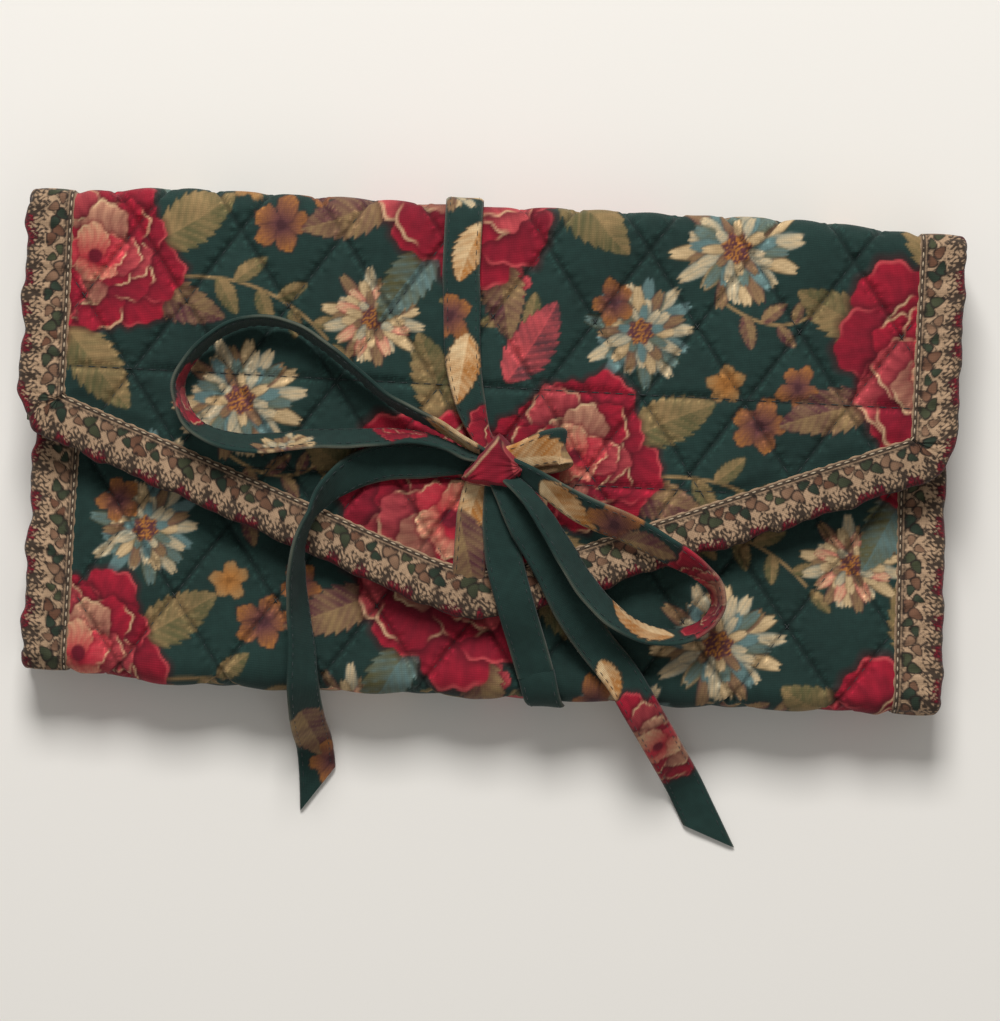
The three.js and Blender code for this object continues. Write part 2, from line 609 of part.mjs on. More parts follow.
function volume(geometry) {
  const position = geometry.getAttribute('position');
  const corner = (i) => new THREE.Vector3().fromBufferAttribute(position, geometry.index.getX(i));
  let sum = 0;
  for (let i = 0; i < geometry.index.count; i += 3) {
    sum += corner(i).dot(corner(i + 1).cross(corner(i + 2))) / 6;
  }
  return sum;
}

function flipped(geometry) {
  const index = geometry.index.array;
  for (let i = 0; i < index.length; i += 3) {
    [index[i], index[i + 1]] = [index[i + 1], index[i]];
  }
  return geometry;
}

// A strap along a route of [x, y, height over the flap, lean in degrees, width].
// Lean 0 lies flat and 90 stands on edge; slant cuts the far end on the skew.
function strap(route, steps, slant = 0) {
  const stations = route.map(([x, y, z]) => new THREE.Vector3(x, y, ROLL_HEIGHT + z));
  const shapes = route.map(([, , , lean, width]) => new THREE.Vector3(lean, width, 0));
  const path = new THREE.CatmullRomCurve3(stations);
  const form = new THREE.CatmullRomCurve3(shapes);
  const rings = [];
  for (let i = 0; i <= steps; i += 1) {
    const t = i / steps;
    const centre = path.getPoint(t);
    const ahead = path.getTangent(t);
    const { x: lean, y: width } = form.getPoint(t);
    const angle = THREE.MathUtils.degToRad(lean);
    const side = new THREE.Vector3().crossVectors(ahead, Z).normalize();
    const over = new THREE.Vector3().crossVectors(side, ahead);
    const across = side.multiplyScalar(Math.cos(angle)).addScaledVector(over, Math.sin(angle));
    const thick = new THREE.Vector3().crossVectors(across, ahead).multiplyScalar(TIE_CLOTH / 2);
    const skew = (slant / 2) * Math.max(0, 1 - centre.distanceTo(stations.at(-1)) / TAIL_CUT);
    const half = across.multiplyScalar(width / 2).addScaledVector(ahead, skew);
    const left = centre.clone().add(half);
    const right = centre.clone().sub(half);
    rings.push([
      left.clone().add(thick), right.clone().add(thick), right.clone().sub(thick), left.clone().sub(thick),
    ]);
  }
  return loft(rings);
}

// Least distance between two stretches of a loop that lie more than a width apart along it.
function leastGap(route) {
  const path = new THREE.CatmullRomCurve3(route.map(([x, y, z]) => new THREE.Vector3(x, y, z)));
  const points = path.getSpacedPoints(80);
  const apart = Math.ceil((2 * TIE_WIDTH) / (path.getLength() / 80));
  let least = Infinity;
  points.forEach((point, i) => {
    points.slice(i + apart).forEach((other) => { least = Math.min(least, point.distanceTo(other)); });
  });
  return least - TIE_CLOTH;
}

function tieBackOutline(gap, reach) {
  const half = TIE_WIDTH / 2 + gap;
  return outline([
    [TIE_BOTTOM_X - half, -reach], [TIE_BOTTOM_X + half, -reach],
    [TIE_TOP_X + half, reach], [TIE_TOP_X - half, reach],
  ]);
}

// The stretch of the tie that goes round a fold, from under the roll to its top.
function tieRound(name, side, x, top) {
  const start = side * (HALF_DEPTH - SPINE + LAYER_GAP);
  const topStart = side * (HALF_DEPTH - PIVOT - TIE_TURN);
  const inner = side * (HALF_DEPTH + SEAT_GAP);
  const outer = side * (HALF_DEPTH + TIE_LIFT);
  const section = outline([
    [start, 0], [outer, 0, FOLD_ROUND], [outer, top + TIE_LIFT, FOLD_ROUND], [topStart, top + TIE_LIFT],
    [topStart, top + SEAT_GAP], [inner, top + SEAT_GAP, 0.8], [inner, TIE_CLOTH, 0.8], [start, TIE_CLOTH],
  ]);
  add(roll, name, alongX(section, x - TIE_WIDTH / 2, x + TIE_WIDTH / 2), 'tie');
}

// Tie: one strap round the roll, a knot on the flap, two loops and two tails.
// The routes are drawn for a strap 9.4 mm wide and grow with it; drawn() puts a named size in their units.
function buildTie() {
  const growth = TIE_WIDTH / 9.4;
  const drawn = (size) => size / growth;
  const strapEnd = FOLD_END - SEAT_GAP;
  add(roll, 'tie_back', prism(tieBackOutline(0, strapEnd), 0, TIE_CLOTH), 'tie');
  tieRound('tie_top', 1, TIE_TOP_X, ROLL_HEIGHT);
  tieRound('tie_bottom', -1, TIE_BOTTOM_X, LEAF_HEIGHT);

  const knot = (grow) => new THREE.SphereGeometry(1, 20, 12)
    .scale(6.8 * growth + grow, 5.5 * growth + grow, 4 * growth + grow)
    .rotateZ(-0.25).translate(2.1 * growth, -2.8 * growth, 4.4 * growth + ROLL_HEIGHT);
  const clearance = solid(knot(SEAT_GAP));
  const grown = (route) => route.map(([x, y, z, lean, width]) => (
    [x * growth, y * growth, z * growth, lean, width * growth]
  ));
  const fromKnot = (route, steps, slant) => cut(strap(grown(route), steps, slant), clearance);
  add(roll, 'tie_knot', knot(0), 'tie');

  const flat = drawn(SEAT_GAP + TIE_CLOTH / 2);
  const onLeaf = drawn(LEAF_HEIGHT - ROLL_HEIGHT) + 1.6;
  const onTable = drawn(TIE_CLOTH / 2 + SEAT_GAP - ROLL_HEIGHT);
  const upper = [
    [drawn(TIE_TOP_X), drawn(strapEnd), flat, 0, 9.4], [-8, 38, flat, 0, 9.4], [-6.8, 22, flat, 0, 9],
    [-4.2, 11, flat, 0, 7.5], [-1.6, 4.5, flat + 0.6, 8, 5.2], [0.6, 0.5, flat + 2, 10, 5],
  ];
  add(roll, 'tie_upper', fromKnot(upper, 14), 'tie');
  const neck = [
    [-1.4, -6.2, flat + 0.3, 0, 5.5], [-1.9, -10, flat, 0, 7],
    [-2.3, -16, flat, 0, 8.4], [-2.7, -30.8, flat, 0, 8.4],
  ];
  add(roll, 'tie_neck', fromKnot(neck, 10), 'tie');
  const lower = [
    [2.6, -5, flat + 2.6, 0, 5], [3.2, -10.5, flat + 1.9, 0, 6.5], [4.3, -18, flat + 1.7, 0, 8.6],
    [6, -27, flat + 1.5, 0, 9.4], [9.6, -38.6, flat + 0.6, 0, 9.4], [13.2, -48.5, onLeaf + 2, 0, 9.4],
    [15.6, 5.8 - drawn(HALF_DEPTH), onLeaf, 0, 9.4],
  ];
  add(roll, 'tie_lower', fromKnot(lower, 22), 'tie');
  const fold = [
    [3, -2, 4.2, -20, 6], [9, -0.8, 3.6, -24, 6.6], [14, 0.4, 2.7, -18, 8.6], [20, 1.4, 1.9, -10, 9],
  ];
  add(roll, 'tie_fold', fromKnot(fold, 10), 'tie');

  const loops = {
    bow_loop_left: [
      [-1, 0.5, 5.8, 66, 5], [-5.4, 2.4, 5.8, 68, 5.6], [-11.5, 5.6, 5.7, 72, 7],
      [-25, 12, 5.2, 78, 9.2], [-33.6, 18.6, 5.1, 80, 9.4], [-42, 24.7, 5.1, 80, 9.4],
      [-49.4, 28.7, 5.1, 80, 9.4], [-58.8, 29.7, 5.1, 80, 9.4], [-67.2, 26.6, 5.1, 80, 9.4],
      [-74.6, 19.2, 5.1, 78, 9.4], [-77.2, 12.9, 5.1, 76, 9.4], [-76, 7.7, 5, 74, 9.4],
      [-73.5, 3.5, 4.9, 70, 9.4], [-69.3, 0.9, 4.8, 66, 9.4], [-63, -0.7, 4.6, 62, 9.4],
      [-54.6, -0.7, 4.5, 60, 9.4], [-44, 0.9, 4.5, 60, 9.4], [-33.6, 1.6, 4.7, 60, 9.4],
      [-25, 2.4, 5.2, 62, 8.6], [-16.8, 2.6, 5.9, 66, 7], [-9.5, 0.9, 6, 68, 5.6],
      [-4.6, -1.2, 5.9, 66, 5], [0.2, -2, 5.8, 66, 5],
    ],
    bow_loop_right: [
      [4.4, -2.2, 5.6, -40, 5], [9.6, -4.4, 5.8, -40, 5.6], [15, -7.6, 5.6, -38, 7],
      [25.2, -13.3, 4.9, -36, 9], [36.7, -17.5, 4.5, -38, 9.4], [47.2, -22.8, 4, -48, 9.4],
      [55.6, -28, 2, -62, 9.4], [59.8, -33.3, -1.8, -72, 9.4], [57.8, -39, -2.8, -74, 9.4],
      [50.4, -44.3, -2.6, -70, 9.4], [42, -43.2, -0.8, -62, 9.4], [33.6, -39, 1.9, -55, 9.4],
      [26.2, -31.7, 4.6, -52, 9.4], [20, -22.8, 7, -50, 8.6], [14, -14.2, 8.6, -48, 6.5],
      [9.6, -9.2, 8.2, -45, 5.6], [4.6, -5.2, 7, -45, 5],
    ],
  };
  Object.entries(loops).forEach(([name, route]) => {
    add(roll, name, fromKnot(route, 46), 'tie');
    console.log(`${name}: least gap to itself ${leastGap(grown(route.slice(3, -3))).toFixed(1)} mm`);
  });

  const tails = {
    tie_tail_left: [
      [0, -2.2, 2.2, 0, 5], [-5.3, -2.6, 1.7, 0, 6.4], [-15.8, -3, 1.1, 0, 9],
      [-25.2, -3.8, 1.2, 4, 9.4], [-32.6, -6.7, 2.2, 26, 9.4], [-38.9, -11.8, 3.9, 54, 9.4],
      [-42.5, -17.5, 5, 80, 9.4], [-45.2, -25, 4.7, 76, 9.4], [-45.7, -33.3, 1.7, 66, 9.4],
      [-45, -41.7, -2, 56, 9.4], [-43.6, -51, -2.5, 46, 9.4], [-42.8, -61.5, -3.6, 34, 9.4],
      [-41.7, -70, -13.4, 20, 9.4], [-40.2, -76.6, -24.4, 6, 9.4], [-39.6, -81, onTable + 0.8, 0, 9.4],
      [-39.2, -84.8, onTable + 0.2, 0, 9.4], [-38.9, -88.3, onTable + 0.1, 0, 9.4],
    ],
    tie_tail_right: [
      [2.6, -5.4, 4.6, 12, 4.6], [5.6, -10.9, 4.5, 14, 5.4], [10.3, -17.8, 4.2, 14, 8.2],
      [17.2, -27, 2.6, 10, 9.4], [23.1, -37.5, 0.5, 6, 9.4], [29.4, -46, -3, 3, 9.4],
      [36.7, -54.3, -4.6, 0, 9.4], [43, -63.7, -5.6, 0, 9.4], [49.9, -74.2, -16.8, 0, 9.4],
      [55, -82.2, -25.8, 0, 9.4], [58.2, -88, onTable + 0.3, 0, 9.4], [62.2, -95.4, onTable, 0, 9.4],
    ],
  };
  Object.entries(tails).forEach(([name, route]) => {
    const slant = name.endsWith('left') ? TAIL_SLANT : -TAIL_SLANT;
    add(roll, name, fromKnot(route, 34, slant), 'tie');
  });
}

buildBack();
buildFold('top_fold', 1, FLAP_WIDTH / 2, ROLL_HEIGHT, FLAP_FACE);
buildFold('bottom_fold', -1, BODY_WIDTH / 2, LEAF_HEIGHT, LEAF_FACE);
buildFlap();
buildFront();
buildZip('flap', FLAP_ZIP_Y, FLAP_FACE, -1, FLAP_ZIP_LENGTH);
buildZip('back', BACK_ZIP_Y, BACK_PANEL, 1, BACK_ZIP_LENGTH);
buildRingBar();
buildTie();

export default roll;
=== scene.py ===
"""Looks of a quilted cotton jewelry roll, folded in three and tied with a bow, over its solid model."""

import math
from types import SimpleNamespace

import bmesh
import bpy
import numpy as np
from mathutils import Matrix, Vector


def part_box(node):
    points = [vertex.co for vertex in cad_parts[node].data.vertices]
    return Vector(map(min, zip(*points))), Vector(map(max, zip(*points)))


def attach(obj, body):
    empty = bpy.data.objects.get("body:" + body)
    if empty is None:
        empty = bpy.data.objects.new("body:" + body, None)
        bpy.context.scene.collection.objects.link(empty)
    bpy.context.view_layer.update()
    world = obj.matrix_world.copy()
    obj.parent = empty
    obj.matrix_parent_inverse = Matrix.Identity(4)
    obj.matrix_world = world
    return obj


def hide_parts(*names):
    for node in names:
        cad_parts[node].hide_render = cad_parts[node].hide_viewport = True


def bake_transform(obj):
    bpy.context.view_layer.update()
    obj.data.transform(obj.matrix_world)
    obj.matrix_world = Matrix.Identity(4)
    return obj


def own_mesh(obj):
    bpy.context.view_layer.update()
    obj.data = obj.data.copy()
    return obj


bl_info = {
    "name": "Quilted Jewelry Roll",
    "version": (1, 0, 0),
    "blender": (4, 5, 0),
    "location": "3D View > Sidebar > Roll",
    "description": "Sews the covers, binding, tie and inside of a quilted jewelry roll over its frame",
    "category": "Add Mesh",
}

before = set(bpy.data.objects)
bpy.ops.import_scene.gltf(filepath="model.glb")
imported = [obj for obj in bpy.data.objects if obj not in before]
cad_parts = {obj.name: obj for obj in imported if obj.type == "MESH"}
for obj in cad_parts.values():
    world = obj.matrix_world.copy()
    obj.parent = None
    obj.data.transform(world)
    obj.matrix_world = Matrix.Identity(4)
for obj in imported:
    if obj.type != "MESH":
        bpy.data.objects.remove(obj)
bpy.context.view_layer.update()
MM = 0.001

# Sizes in millimetres, the outer ones read from the frame
FLAP_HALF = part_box("flap_binding")[1].x / MM
BODY_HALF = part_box("back_binding_right")[1].x / MM
FOLD_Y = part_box("top_fold_cover")[1].y / MM
FLAP_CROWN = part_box("flap_cover")[1].z / MM
FLAP_SIDE = 60.0
FLAP_REACH = 105.0
FLAP_TIP = FOLD_Y - FLAP_REACH

# Layers, counted outwards from the quilting seams
LOFT = 1.7
BACK_LOFT = 1.15
SPINE_LOFT = 1.5
LINING_LEVEL = -3.5
LINING_CLOTH = 0.6
LINING_INSET = 2.0
LINING_STEP = 1.2
LINING_COLUMNS = 150
POCKET_LEVEL = LINING_LEVEL - 0.75
POCKET_INSET = 12.0
POCKET_START = 0.4
POCKET_HEIGHT = 40.0
BINDING_WIDTH = 11.7
BINDING_TOP = 0.8
BINDING_UNDER = -4.75
BINDING_ROUND = 1.7
TUCK = 1.0

# Lengths on which the steps along the flap's binding are counted
BINDING_SIDE_END = -6.0
BINDING_SLANT = 125.0

# Folds of the sheet, and how far they swell between their bindings
FOLD_RADIUS = 4.2
TOP_SWELL = 1.7
BOTTOM_SWELL_X = (-56.0, 62.0)
BOTTOM_SWELL = (1.75, 0.5)
SWELL_FADE = 25.0
TIE_HOLD = 0.35
TIE_HOLD_REACH = 25.0
SPINE_SEAM = FOLD_Y - SPINE_LOFT
FLAP_SEAM = FLAP_CROWN - LOFT
BACK_SEAM = 1.2
BEND_Y = SPINE_SEAM - FOLD_RADIUS
OVERHANG_FADE = 8.0
LEAF_TILT = math.radians(4.5)
LEAF_PIVOT = (-59.2, 20.2)
LEAF_LIFT = 0.1
LEAF_REACH = 68.5
LEAF_FLARE = (0.0, 3.2, 3.4, 1.8)
LEAF_CORNER = 6.0
POINT_TILT = math.atan((FLAP_REACH - FLAP_SIDE) / FLAP_HALF)
FLAP_CORNER = 10.0
POINT_ROUND = 14.0
CORNER_STEPS = 72

# Quilting. Each wave of its puckers is a length, a share and a turn.
DIAMOND_WIDTH = 25.6
DIAMOND_HEIGHT = 37.0
FLAP_CROSSING = 34.0
LEAF_CROSSING_Y = -40.0
LATTICE_MARGIN = 20.0
ZIP_SEAMS = (16.3, -7.0)
PUCKER = 0.17
PUCKER_PLACE = 1.4
PUCKER_WAVES = ((3.0, 1.0, 0), (4.7, 0.6, 1), (1.9, 0.5, 2))
SEAM_DIP = 0.65
SEAM_WIDTH = 0.8
BACK_SPACING = 0.8

# Topstitching of the bindings
CHAIN_PITCH = 2.2
CHAIN_HALF = 0.87
CHAIN_THICK = 0.46
CHAIN_INSET = 0.85

# Zippers and ring bar
FLAP_ZIP_Y = 4.65
BACK_ZIP_Y = 43.5
ZIP_WINDOW = 9.0
ZIP_WINDOW_INSET = 1.0
FLAP_ZIP_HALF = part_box("flap_zip_tape_fold")[1].x / MM
BACK_ZIP_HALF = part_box("back_zip_tape_fold")[1].x / MM
TAPE_START = 1.2
TAPE_WIDTH = 10.9
TAPE_CLOTH = 0.4
TAPE_RIB = 0.9
TAPE_RIB_DEPTH = 0.06
TAPE_SINK = 0.1
TAPE_GRID = (160, 24)
COIL_PITCH = 1.3
COIL_TURN = (0.45, 1.35, 0.6)
COIL_RISE = 0.65
COIL_MARGIN = 5.0
RING_BAR_Y = 24.0
RING_BAR_HALF = 75.0
RING_BAR_RADIUS = 5.0
TAB_HALF = 7.0
TAB_THICK = 0.6
TAB_LIFT = 1.4
TAB_RUN = 12.0
BAR_COLUMNS = 56
BAR_ROWS = 200

# Tie, with its heights over the seams on the top fold, round the other fold and under the back
TIE_WIDTH = 9.4
TIE_CLOTH = 1.2
TIE_TOP_X = -8.5
TIE_BOTTOM_X = 16.5
TIE_DRIFT = (0, 1.6, 1.9, -1.2)
TIE_ON_TOP = 2.5
TIE_ROUND = 2.4
TIE_UNDER = 0.55
TIE_JOIN = 44.0
TAIL_SLANT = 11.0
TAIL_CUT = 16.0
STRAP_COLUMNS = 20
STRAP_STEPS = 130
FOLD_STEPS = 90
BACK_STEPS = 120
STRAP_STITCH = 2.4
STRAP_STITCH_HALF = 0.8
STRAP_STITCH_THICK = 0.2
STRAP_SEAM = 0.76

# Each route is a list of x, y, height over the flap, lean in degrees and width.
UPPER_ROUTE = (
    (-8.45, 43.8, 0.8, 0, 9.4), (-8, 38, 0.9, 0, 9.4), (-6.8, 22, 0.9, 0, 9), (-4.2, 11, 0.9, 0, 7.5),
    (-1.6, 4.5, 1.5, 8, 5.2), (0.6, 0.5, 2.9, 10, 5),
)
NECK_ROUTE = (
    (-0.6, -3.6, 2.2, 0, 5.2), (-1.4, -6.2, 1.2, 0, 5.5), (-1.9, -10, 0.9, 0, 7),
    (-2.3, -16, 0.9, 0, 8.4), (-2.5, -25, 0.7, 0, 8.4), (-2.65, -29, -0.5, 0, 8.4),
    (-2.75, -33, -2.0, 0, 8.4),
)
LOWER_ROUTE = (
    (2.6, -5, 3.5, 0, 5), (3.2, -10.5, 2.8, 0, 6.5), (4.3, -18, 2.6, 0, 8.6), (6, -27, 2.4, 0, 9.4),
    (9.6, -38.6, 1.5, 0, 9.4), (13.1, -48.5, -3.6, 0, 9.4), (15.3, -54.97, -6.3, 0, 9.4),
)
STUB_ROUTE = (
    (3, -2.2, 5.4, -14, 6), (8, -0.8, 5.2, -20, 7), (12.5, 0.8, 4.6, -20, 8.8), (16, 1.9, 4.1, -14, 9.4),
    (18.4, 2.3, 3.6, -6, 9.4), (19.4, 1.8, 2.6, 0, 9.4), (18.4, 0.9, 1.7, 0, 9.4), (15.5, -0.2, 1.6, 0, 9.2),
    (11, -1.6, 1.9, 0, 8), (6, -2.6, 2.6, 0, 6.4),
)
LEFT_LOOP = (
    (-1, 0, 4.2, 66, 4), (-5.4, 2.2, 5.3, 68, 5.2), (-11.5, 5.6, 5.7, 72, 7), (-25, 12, 5.2, 78, 9.2),
    (-33.6, 18.6, 5.1, 80, 9.4), (-42, 24.7, 5.1, 80, 9.4), (-49.4, 28.7, 5.1, 80, 9.4),
    (-58.8, 29.7, 5.1, 80, 9.4), (-67.2, 26.6, 5.1, 80, 9.4), (-74.6, 19.2, 5.1, 78, 9.4),
    (-77.2, 12.9, 5.1, 76, 9.4), (-76, 7.7, 5, 74, 9.4), (-73.5, 3.5, 4.9, 70, 9.4),
    (-69.3, 0.9, 4.8, 66, 9.4), (-63, -0.7, 4.6, 62, 9.4), (-54.6, -0.7, 4.5, 60, 9.4),
    (-44, 0.9, 4.5, 60, 9.4), (-33.6, 1.6, 4.7, 60, 9.4), (-25, 2.4, 5.2, 62, 8.6),
    (-16.8, 2.6, 5.9, 66, 7), (-9.5, 0.9, 5.8, 68, 5.6), (-4.6, -1.2, 5, 66, 4.6), (0.2, -2, 4, 66, 4),
)
RIGHT_LOOP = (
    (4.4, -2.2, 4.6, -40, 4.4), (9.6, -4.4, 5.5, -40, 5.4), (15, -7.6, 5.6, -38, 7),
    (25.2, -13.3, 4.9, -36, 9),
    (36.7, -17.5, 4.5, -38, 9.4), (47.2, -22.6, 4, -48, 9.4), (54.6, -26.9, 2.4, -60, 9.4),
    (58.9, -31.2, -0.3, -68, 9.4), (59.9, -35.7, -2, -73, 9.4), (57, -40.5, -2.8, -74, 9.4),
    (50.6, -43.6, -2.6, -70, 9.4), (42, -43.2, -0.8, -62, 9.4), (33.6, -39, 1.9, -55, 9.4),
    (26.2, -31.7, 4.6, -52, 9.4), (20, -22.8, 7, -50, 8.6), (14, -14.2, 8.6, -48, 6.5),
    (9.6, -9.2, 7.7, -45, 5.4), (4.6, -5.2, 5.4, -45, 4.4),
)
LEFT_TAIL = (
    (0, -2.2, 2.2, 0, 5), (-5.3, -2.6, 1.7, 0, 6.4), (-15.8, -3, 1.1, 0, 9), (-25.2, -3.8, 1.2, 4, 9.4),
    (-32.6, -6.7, 2.2, 26, 9.4), (-38.9, -11.8, 3.9, 54, 9.4), (-42.5, -17.5, 5, 80, 9.4),
    (-45.2, -25, 4.7, 76, 9.4), (-45.7, -33.3, 1.7, 66, 9.4), (-45, -41.7, -2, 56, 9.4),
    (-43.6, -51, -2.5, 46, 9.4), (-42.8, -61.5, -3.6, 34, 9.4), (-41.7, -70, -13.4, 20, 9.4),
    (-40.2, -76.6, -24.4, 6, 9.4), (-39.6, -81, -27.1, 0, 9.4), (-39.2, -84.8, -27.7, 0, 9.4),
    (-38.9, -88.3, -27.8, 0, 9.4),
)
RIGHT_TAIL = (
    (2.6, -5.4, 4.6, 12, 4.6), (5.6, -10.9, 4.5, 14, 5.4), (10.3, -17.8, 4.2, 14, 8.2),
    (17.2, -27, 2.6, 10, 9.4), (23.1, -37.5, 0.5, 6, 9.4), (29.4, -46, -3, 3, 9.4),
    (36.7, -54.3, -4.6, 0, 9.4), (43, -63.7, -5.6, 0, 9.4),
    (49.9, -74.2, -16.8, 0, 9.4), (55, -82.2, -25.8, 0, 9.4), (58.2, -88, -27.6, 0, 9.4),
    (62.2, -95.4, -27.9, 0, 9.4),
)

# Knot: its size, its folded faces as directions and distances, and the corners where it is gathered
KNOT_SIZE = (8.8, 7.6, 5.4)
KNOT_FOLDS = (
    ((-0.79, 0.61, 0.12), 3.7), ((0.74, 0.6, 0.35), 5.0), ((-0.08, -0.98, 0.2), 5.2),
    ((0.7, -0.65, 0.3), 6.3), ((0.1, -0.14, 0.99), 4.1),
)
KNOT_GATHERS = ((7.0, -0.6), (-7.6, -4.8))
KNOT_CENTRE = (2.1, -2.8, 4.3)
KNOT_FLATTENING = 0.9
KNOT_PLEATS = 17
KNOT_PLEAT_DEPTH = 0.045
KNOT_PLEAT_REACH = 7.0
KNOT_GRID = (144, 96)

# Motifs that fall on each strap: kind, place along it, place across it, size
UPPER_PRINT = (
    ("aster", 6, 4, 10), ("tan", 26, -2, 8), ("blossom", 42, 3, 6), ("tan", 55, 1, 9), ("bloom", 78, -8, 13),
)
NECK_PRINT = (("tan", 9, 0, 11), ("mauve", 22, 1, 11))
STUB_PRINT = (("tan", 9, 1, 12), ("mauve", 26, 0, 10), ("tan", 34, -2, 9))
LEFT_LOOP_PRINT = (("tan", 8, 0, 9), ("bloom", 97, -10, 13), ("aster", 128, 6, 9), ("bloom", 157, -7, 9))
RIGHT_LOOP_PRINT = (
    ("tan", 20, 2, 10), ("blossom", 32, 0, 7), ("mauve", 42, 2, 8), ("bloom", 64, 3, 14), ("tan", 92, 2, 10),
)
LEFT_TAIL_PRINT = (("mauve", 113, 0, 12), ("blossom", 126, -4, 6))
RIGHT_TAIL_PRINT = (("tan", 60, 3, 6), ("bloom", 84, 1, 17))
KNOT_PRINT = (("bloom", 9, -12, 26),)

# Repeat of the print, and where the sheet and the ring bar are cut from it
REPEAT_WIDTH = 122.0
REPEAT_HEIGHT = 88.0
PRINT_SHIFT = (38.0, 52.0)
BAR_SHIFT = (12.0, 22.0)

# Printed border of the binding, by distance from its outer edge.
# A row of leaves is its start, level, length, width and turn, and a line its level and half width.
BORDER_PERIOD = 4.3
BORDER_TWIG = 7.4
BORDER_LEAVES = ((0.0, 8.6, 1.5, 0.94, 0.6), (2.1, 6.5, 1.45, 0.9, -0.7))
BORDER_LINES = ((9.95, 0.14), (10.85, 0.5))
BORDER_DOTS = 9.65
BORDER_SPECKLE = 5.4

# Camera, looking straight down and turned a little, and the light
VIEW_TURN = math.radians(2.95)
VIEW_REACH = 900.0
VIEW_SPAN = 255.25
VIEW_CENTRE = (3.5, -14.6, 27.5)
SENSOR = 36.0
SKY = (1.0, 0.99, 0.97, 1)
SKY_STRENGTH = 0.26
LAMPS = (("window", (-0.12, 0.95, 1.05), 0.5, 18.5), ("fill", (0.3, -0.6, 1.3), 1.0, 1.6))

# A wave texture of scale one repeats after this length
BAND_LENGTH = 0.3142


def tint(red, green, blue):
    """Linear colour of a display colour given from 0 to 255."""
    shares = [value / 255 for value in (red, green, blue)]
    return tuple(s / 12.92 if s <= 0.04045 else ((s + 0.055) / 1.055) ** 2.4 for s in shares)


def colour_property(name, description, display):
    return bpy.props.FloatVectorProperty(
        name=name, description=description, subtype="COLOR", size=3, min=0, max=1, default=tint(*display)
    )


def length_property(name, description, millimetres):
    return bpy.props.FloatProperty(
        name=name, description=description, default=millimetres * MM, min=0, unit="LENGTH", precision=5
    )


class RollSizes(bpy.types.PropertyGroup):
    """Sizes of the sewing that a maker would change."""

    cloth_spacing: length_property("Cloth spacing", "Distance between the points of a printed cover", 0.46)
    binding_spacing: length_property("Binding spacing", "Distance between the points of a binding", 0.3)
    stitch_pitch: length_property("Stitch pitch", "Length of a quilting stitch with its gap", 3.0)
    thread: length_property("Thread", "Width of the sewing thread", 0.28)
    thread_pitch: length_property("Weave pitch", "Distance between two threads of the cotton", 0.42)


class RollColours(bpy.types.PropertyGroup):
    """Colours of the print, the binding, the lining and the metal."""

    ground: colour_property("Ground", "Ground of the print", (30, 54, 49))
    crimson: colour_property("Crimson", "Shaded petals of the large blooms", (104, 17, 34))
    red: colour_property("Red", "Lit petals of the large blooms", (178, 27, 50))
    rose: colour_property("Rose", "Inner petals of the large blooms", (202, 80, 83))
    cream: colour_property("Cream", "Rims of petals and pale rays", (220, 190, 145))
    blue: colour_property("Blue", "Blue rays of the asters", (96, 122, 120))
    ochre: colour_property("Ochre", "Small blossoms", (172, 112, 52))
    olive: colour_property("Olive", "Leaves", (92, 88, 56))
    tan: colour_property("Tan", "Dry leaves", (150, 122, 82))
    mauve: colour_property("Mauve", "Shaded leaves", (92, 52, 56))
    binding: colour_property("Binding", "Ground of the binding", (178, 147, 117))
    binding_brown: colour_property("Binding brown", "Brown leaves of the binding", (104, 70, 52))
    binding_leaf: colour_property("Binding leaf", "Green leaves of the binding", (42, 54, 42))
    binding_twig: colour_property("Binding twig", "Outlines on the binding", (38, 30, 26))
    binding_edge: colour_property("Binding edge", "Outer edge of the binding", (74, 18, 28))
    lining: colour_property("Lining", "Plain cotton inside", (104, 114, 82))
    thread: colour_property("Thread", "Quilting thread", (20, 34, 34))
    chain: colour_property("Chain", "Topstitching of the binding", (182, 162, 134))
    tape: colour_property("Tape", "Zipper tape", (58, 66, 48))
    brass: colour_property("Brass", "Sliders, pulls and snaps", (176, 142, 84))
    floor: colour_property("Floor", "Plain floor", (238, 234, 227))


def ease(value):
    """A smooth rise from nothing at zero to one at one."""
    value = np.clip(value, 0, 1)
    return value * value * (3 - 2 * value)


def soft(value, width):
    """One inside and nothing outside of an edge that is a width across."""
    return np.clip(value / width + 0.5, 0, 1)


def bell(value, width):
    """One where a value is zero, falling away over a width on both sides."""
    return np.exp(-(value / width) ** 2)


def unit(vectors):
    """Vectors made one long."""
    return vectors / np.linalg.norm(vectors, axis=-1, keepdims=True)


def run_along(line):
    """Distance of each point of a line from its first point."""
    steps = np.linalg.norm(np.diff(line, axis=0), axis=1)
    return np.concatenate(((0.0,), np.cumsum(steps)))


def curve(start, middle, end, count):
    """Points of a curve from start to end, drawn towards a middle point."""
    share = np.linspace(0, 1, count)[:, None]
    ends = (1 - share) ** 2 * np.array(start) + share ** 2 * np.array(end)
    return ends + 2 * share * (1 - share) * np.array(middle)


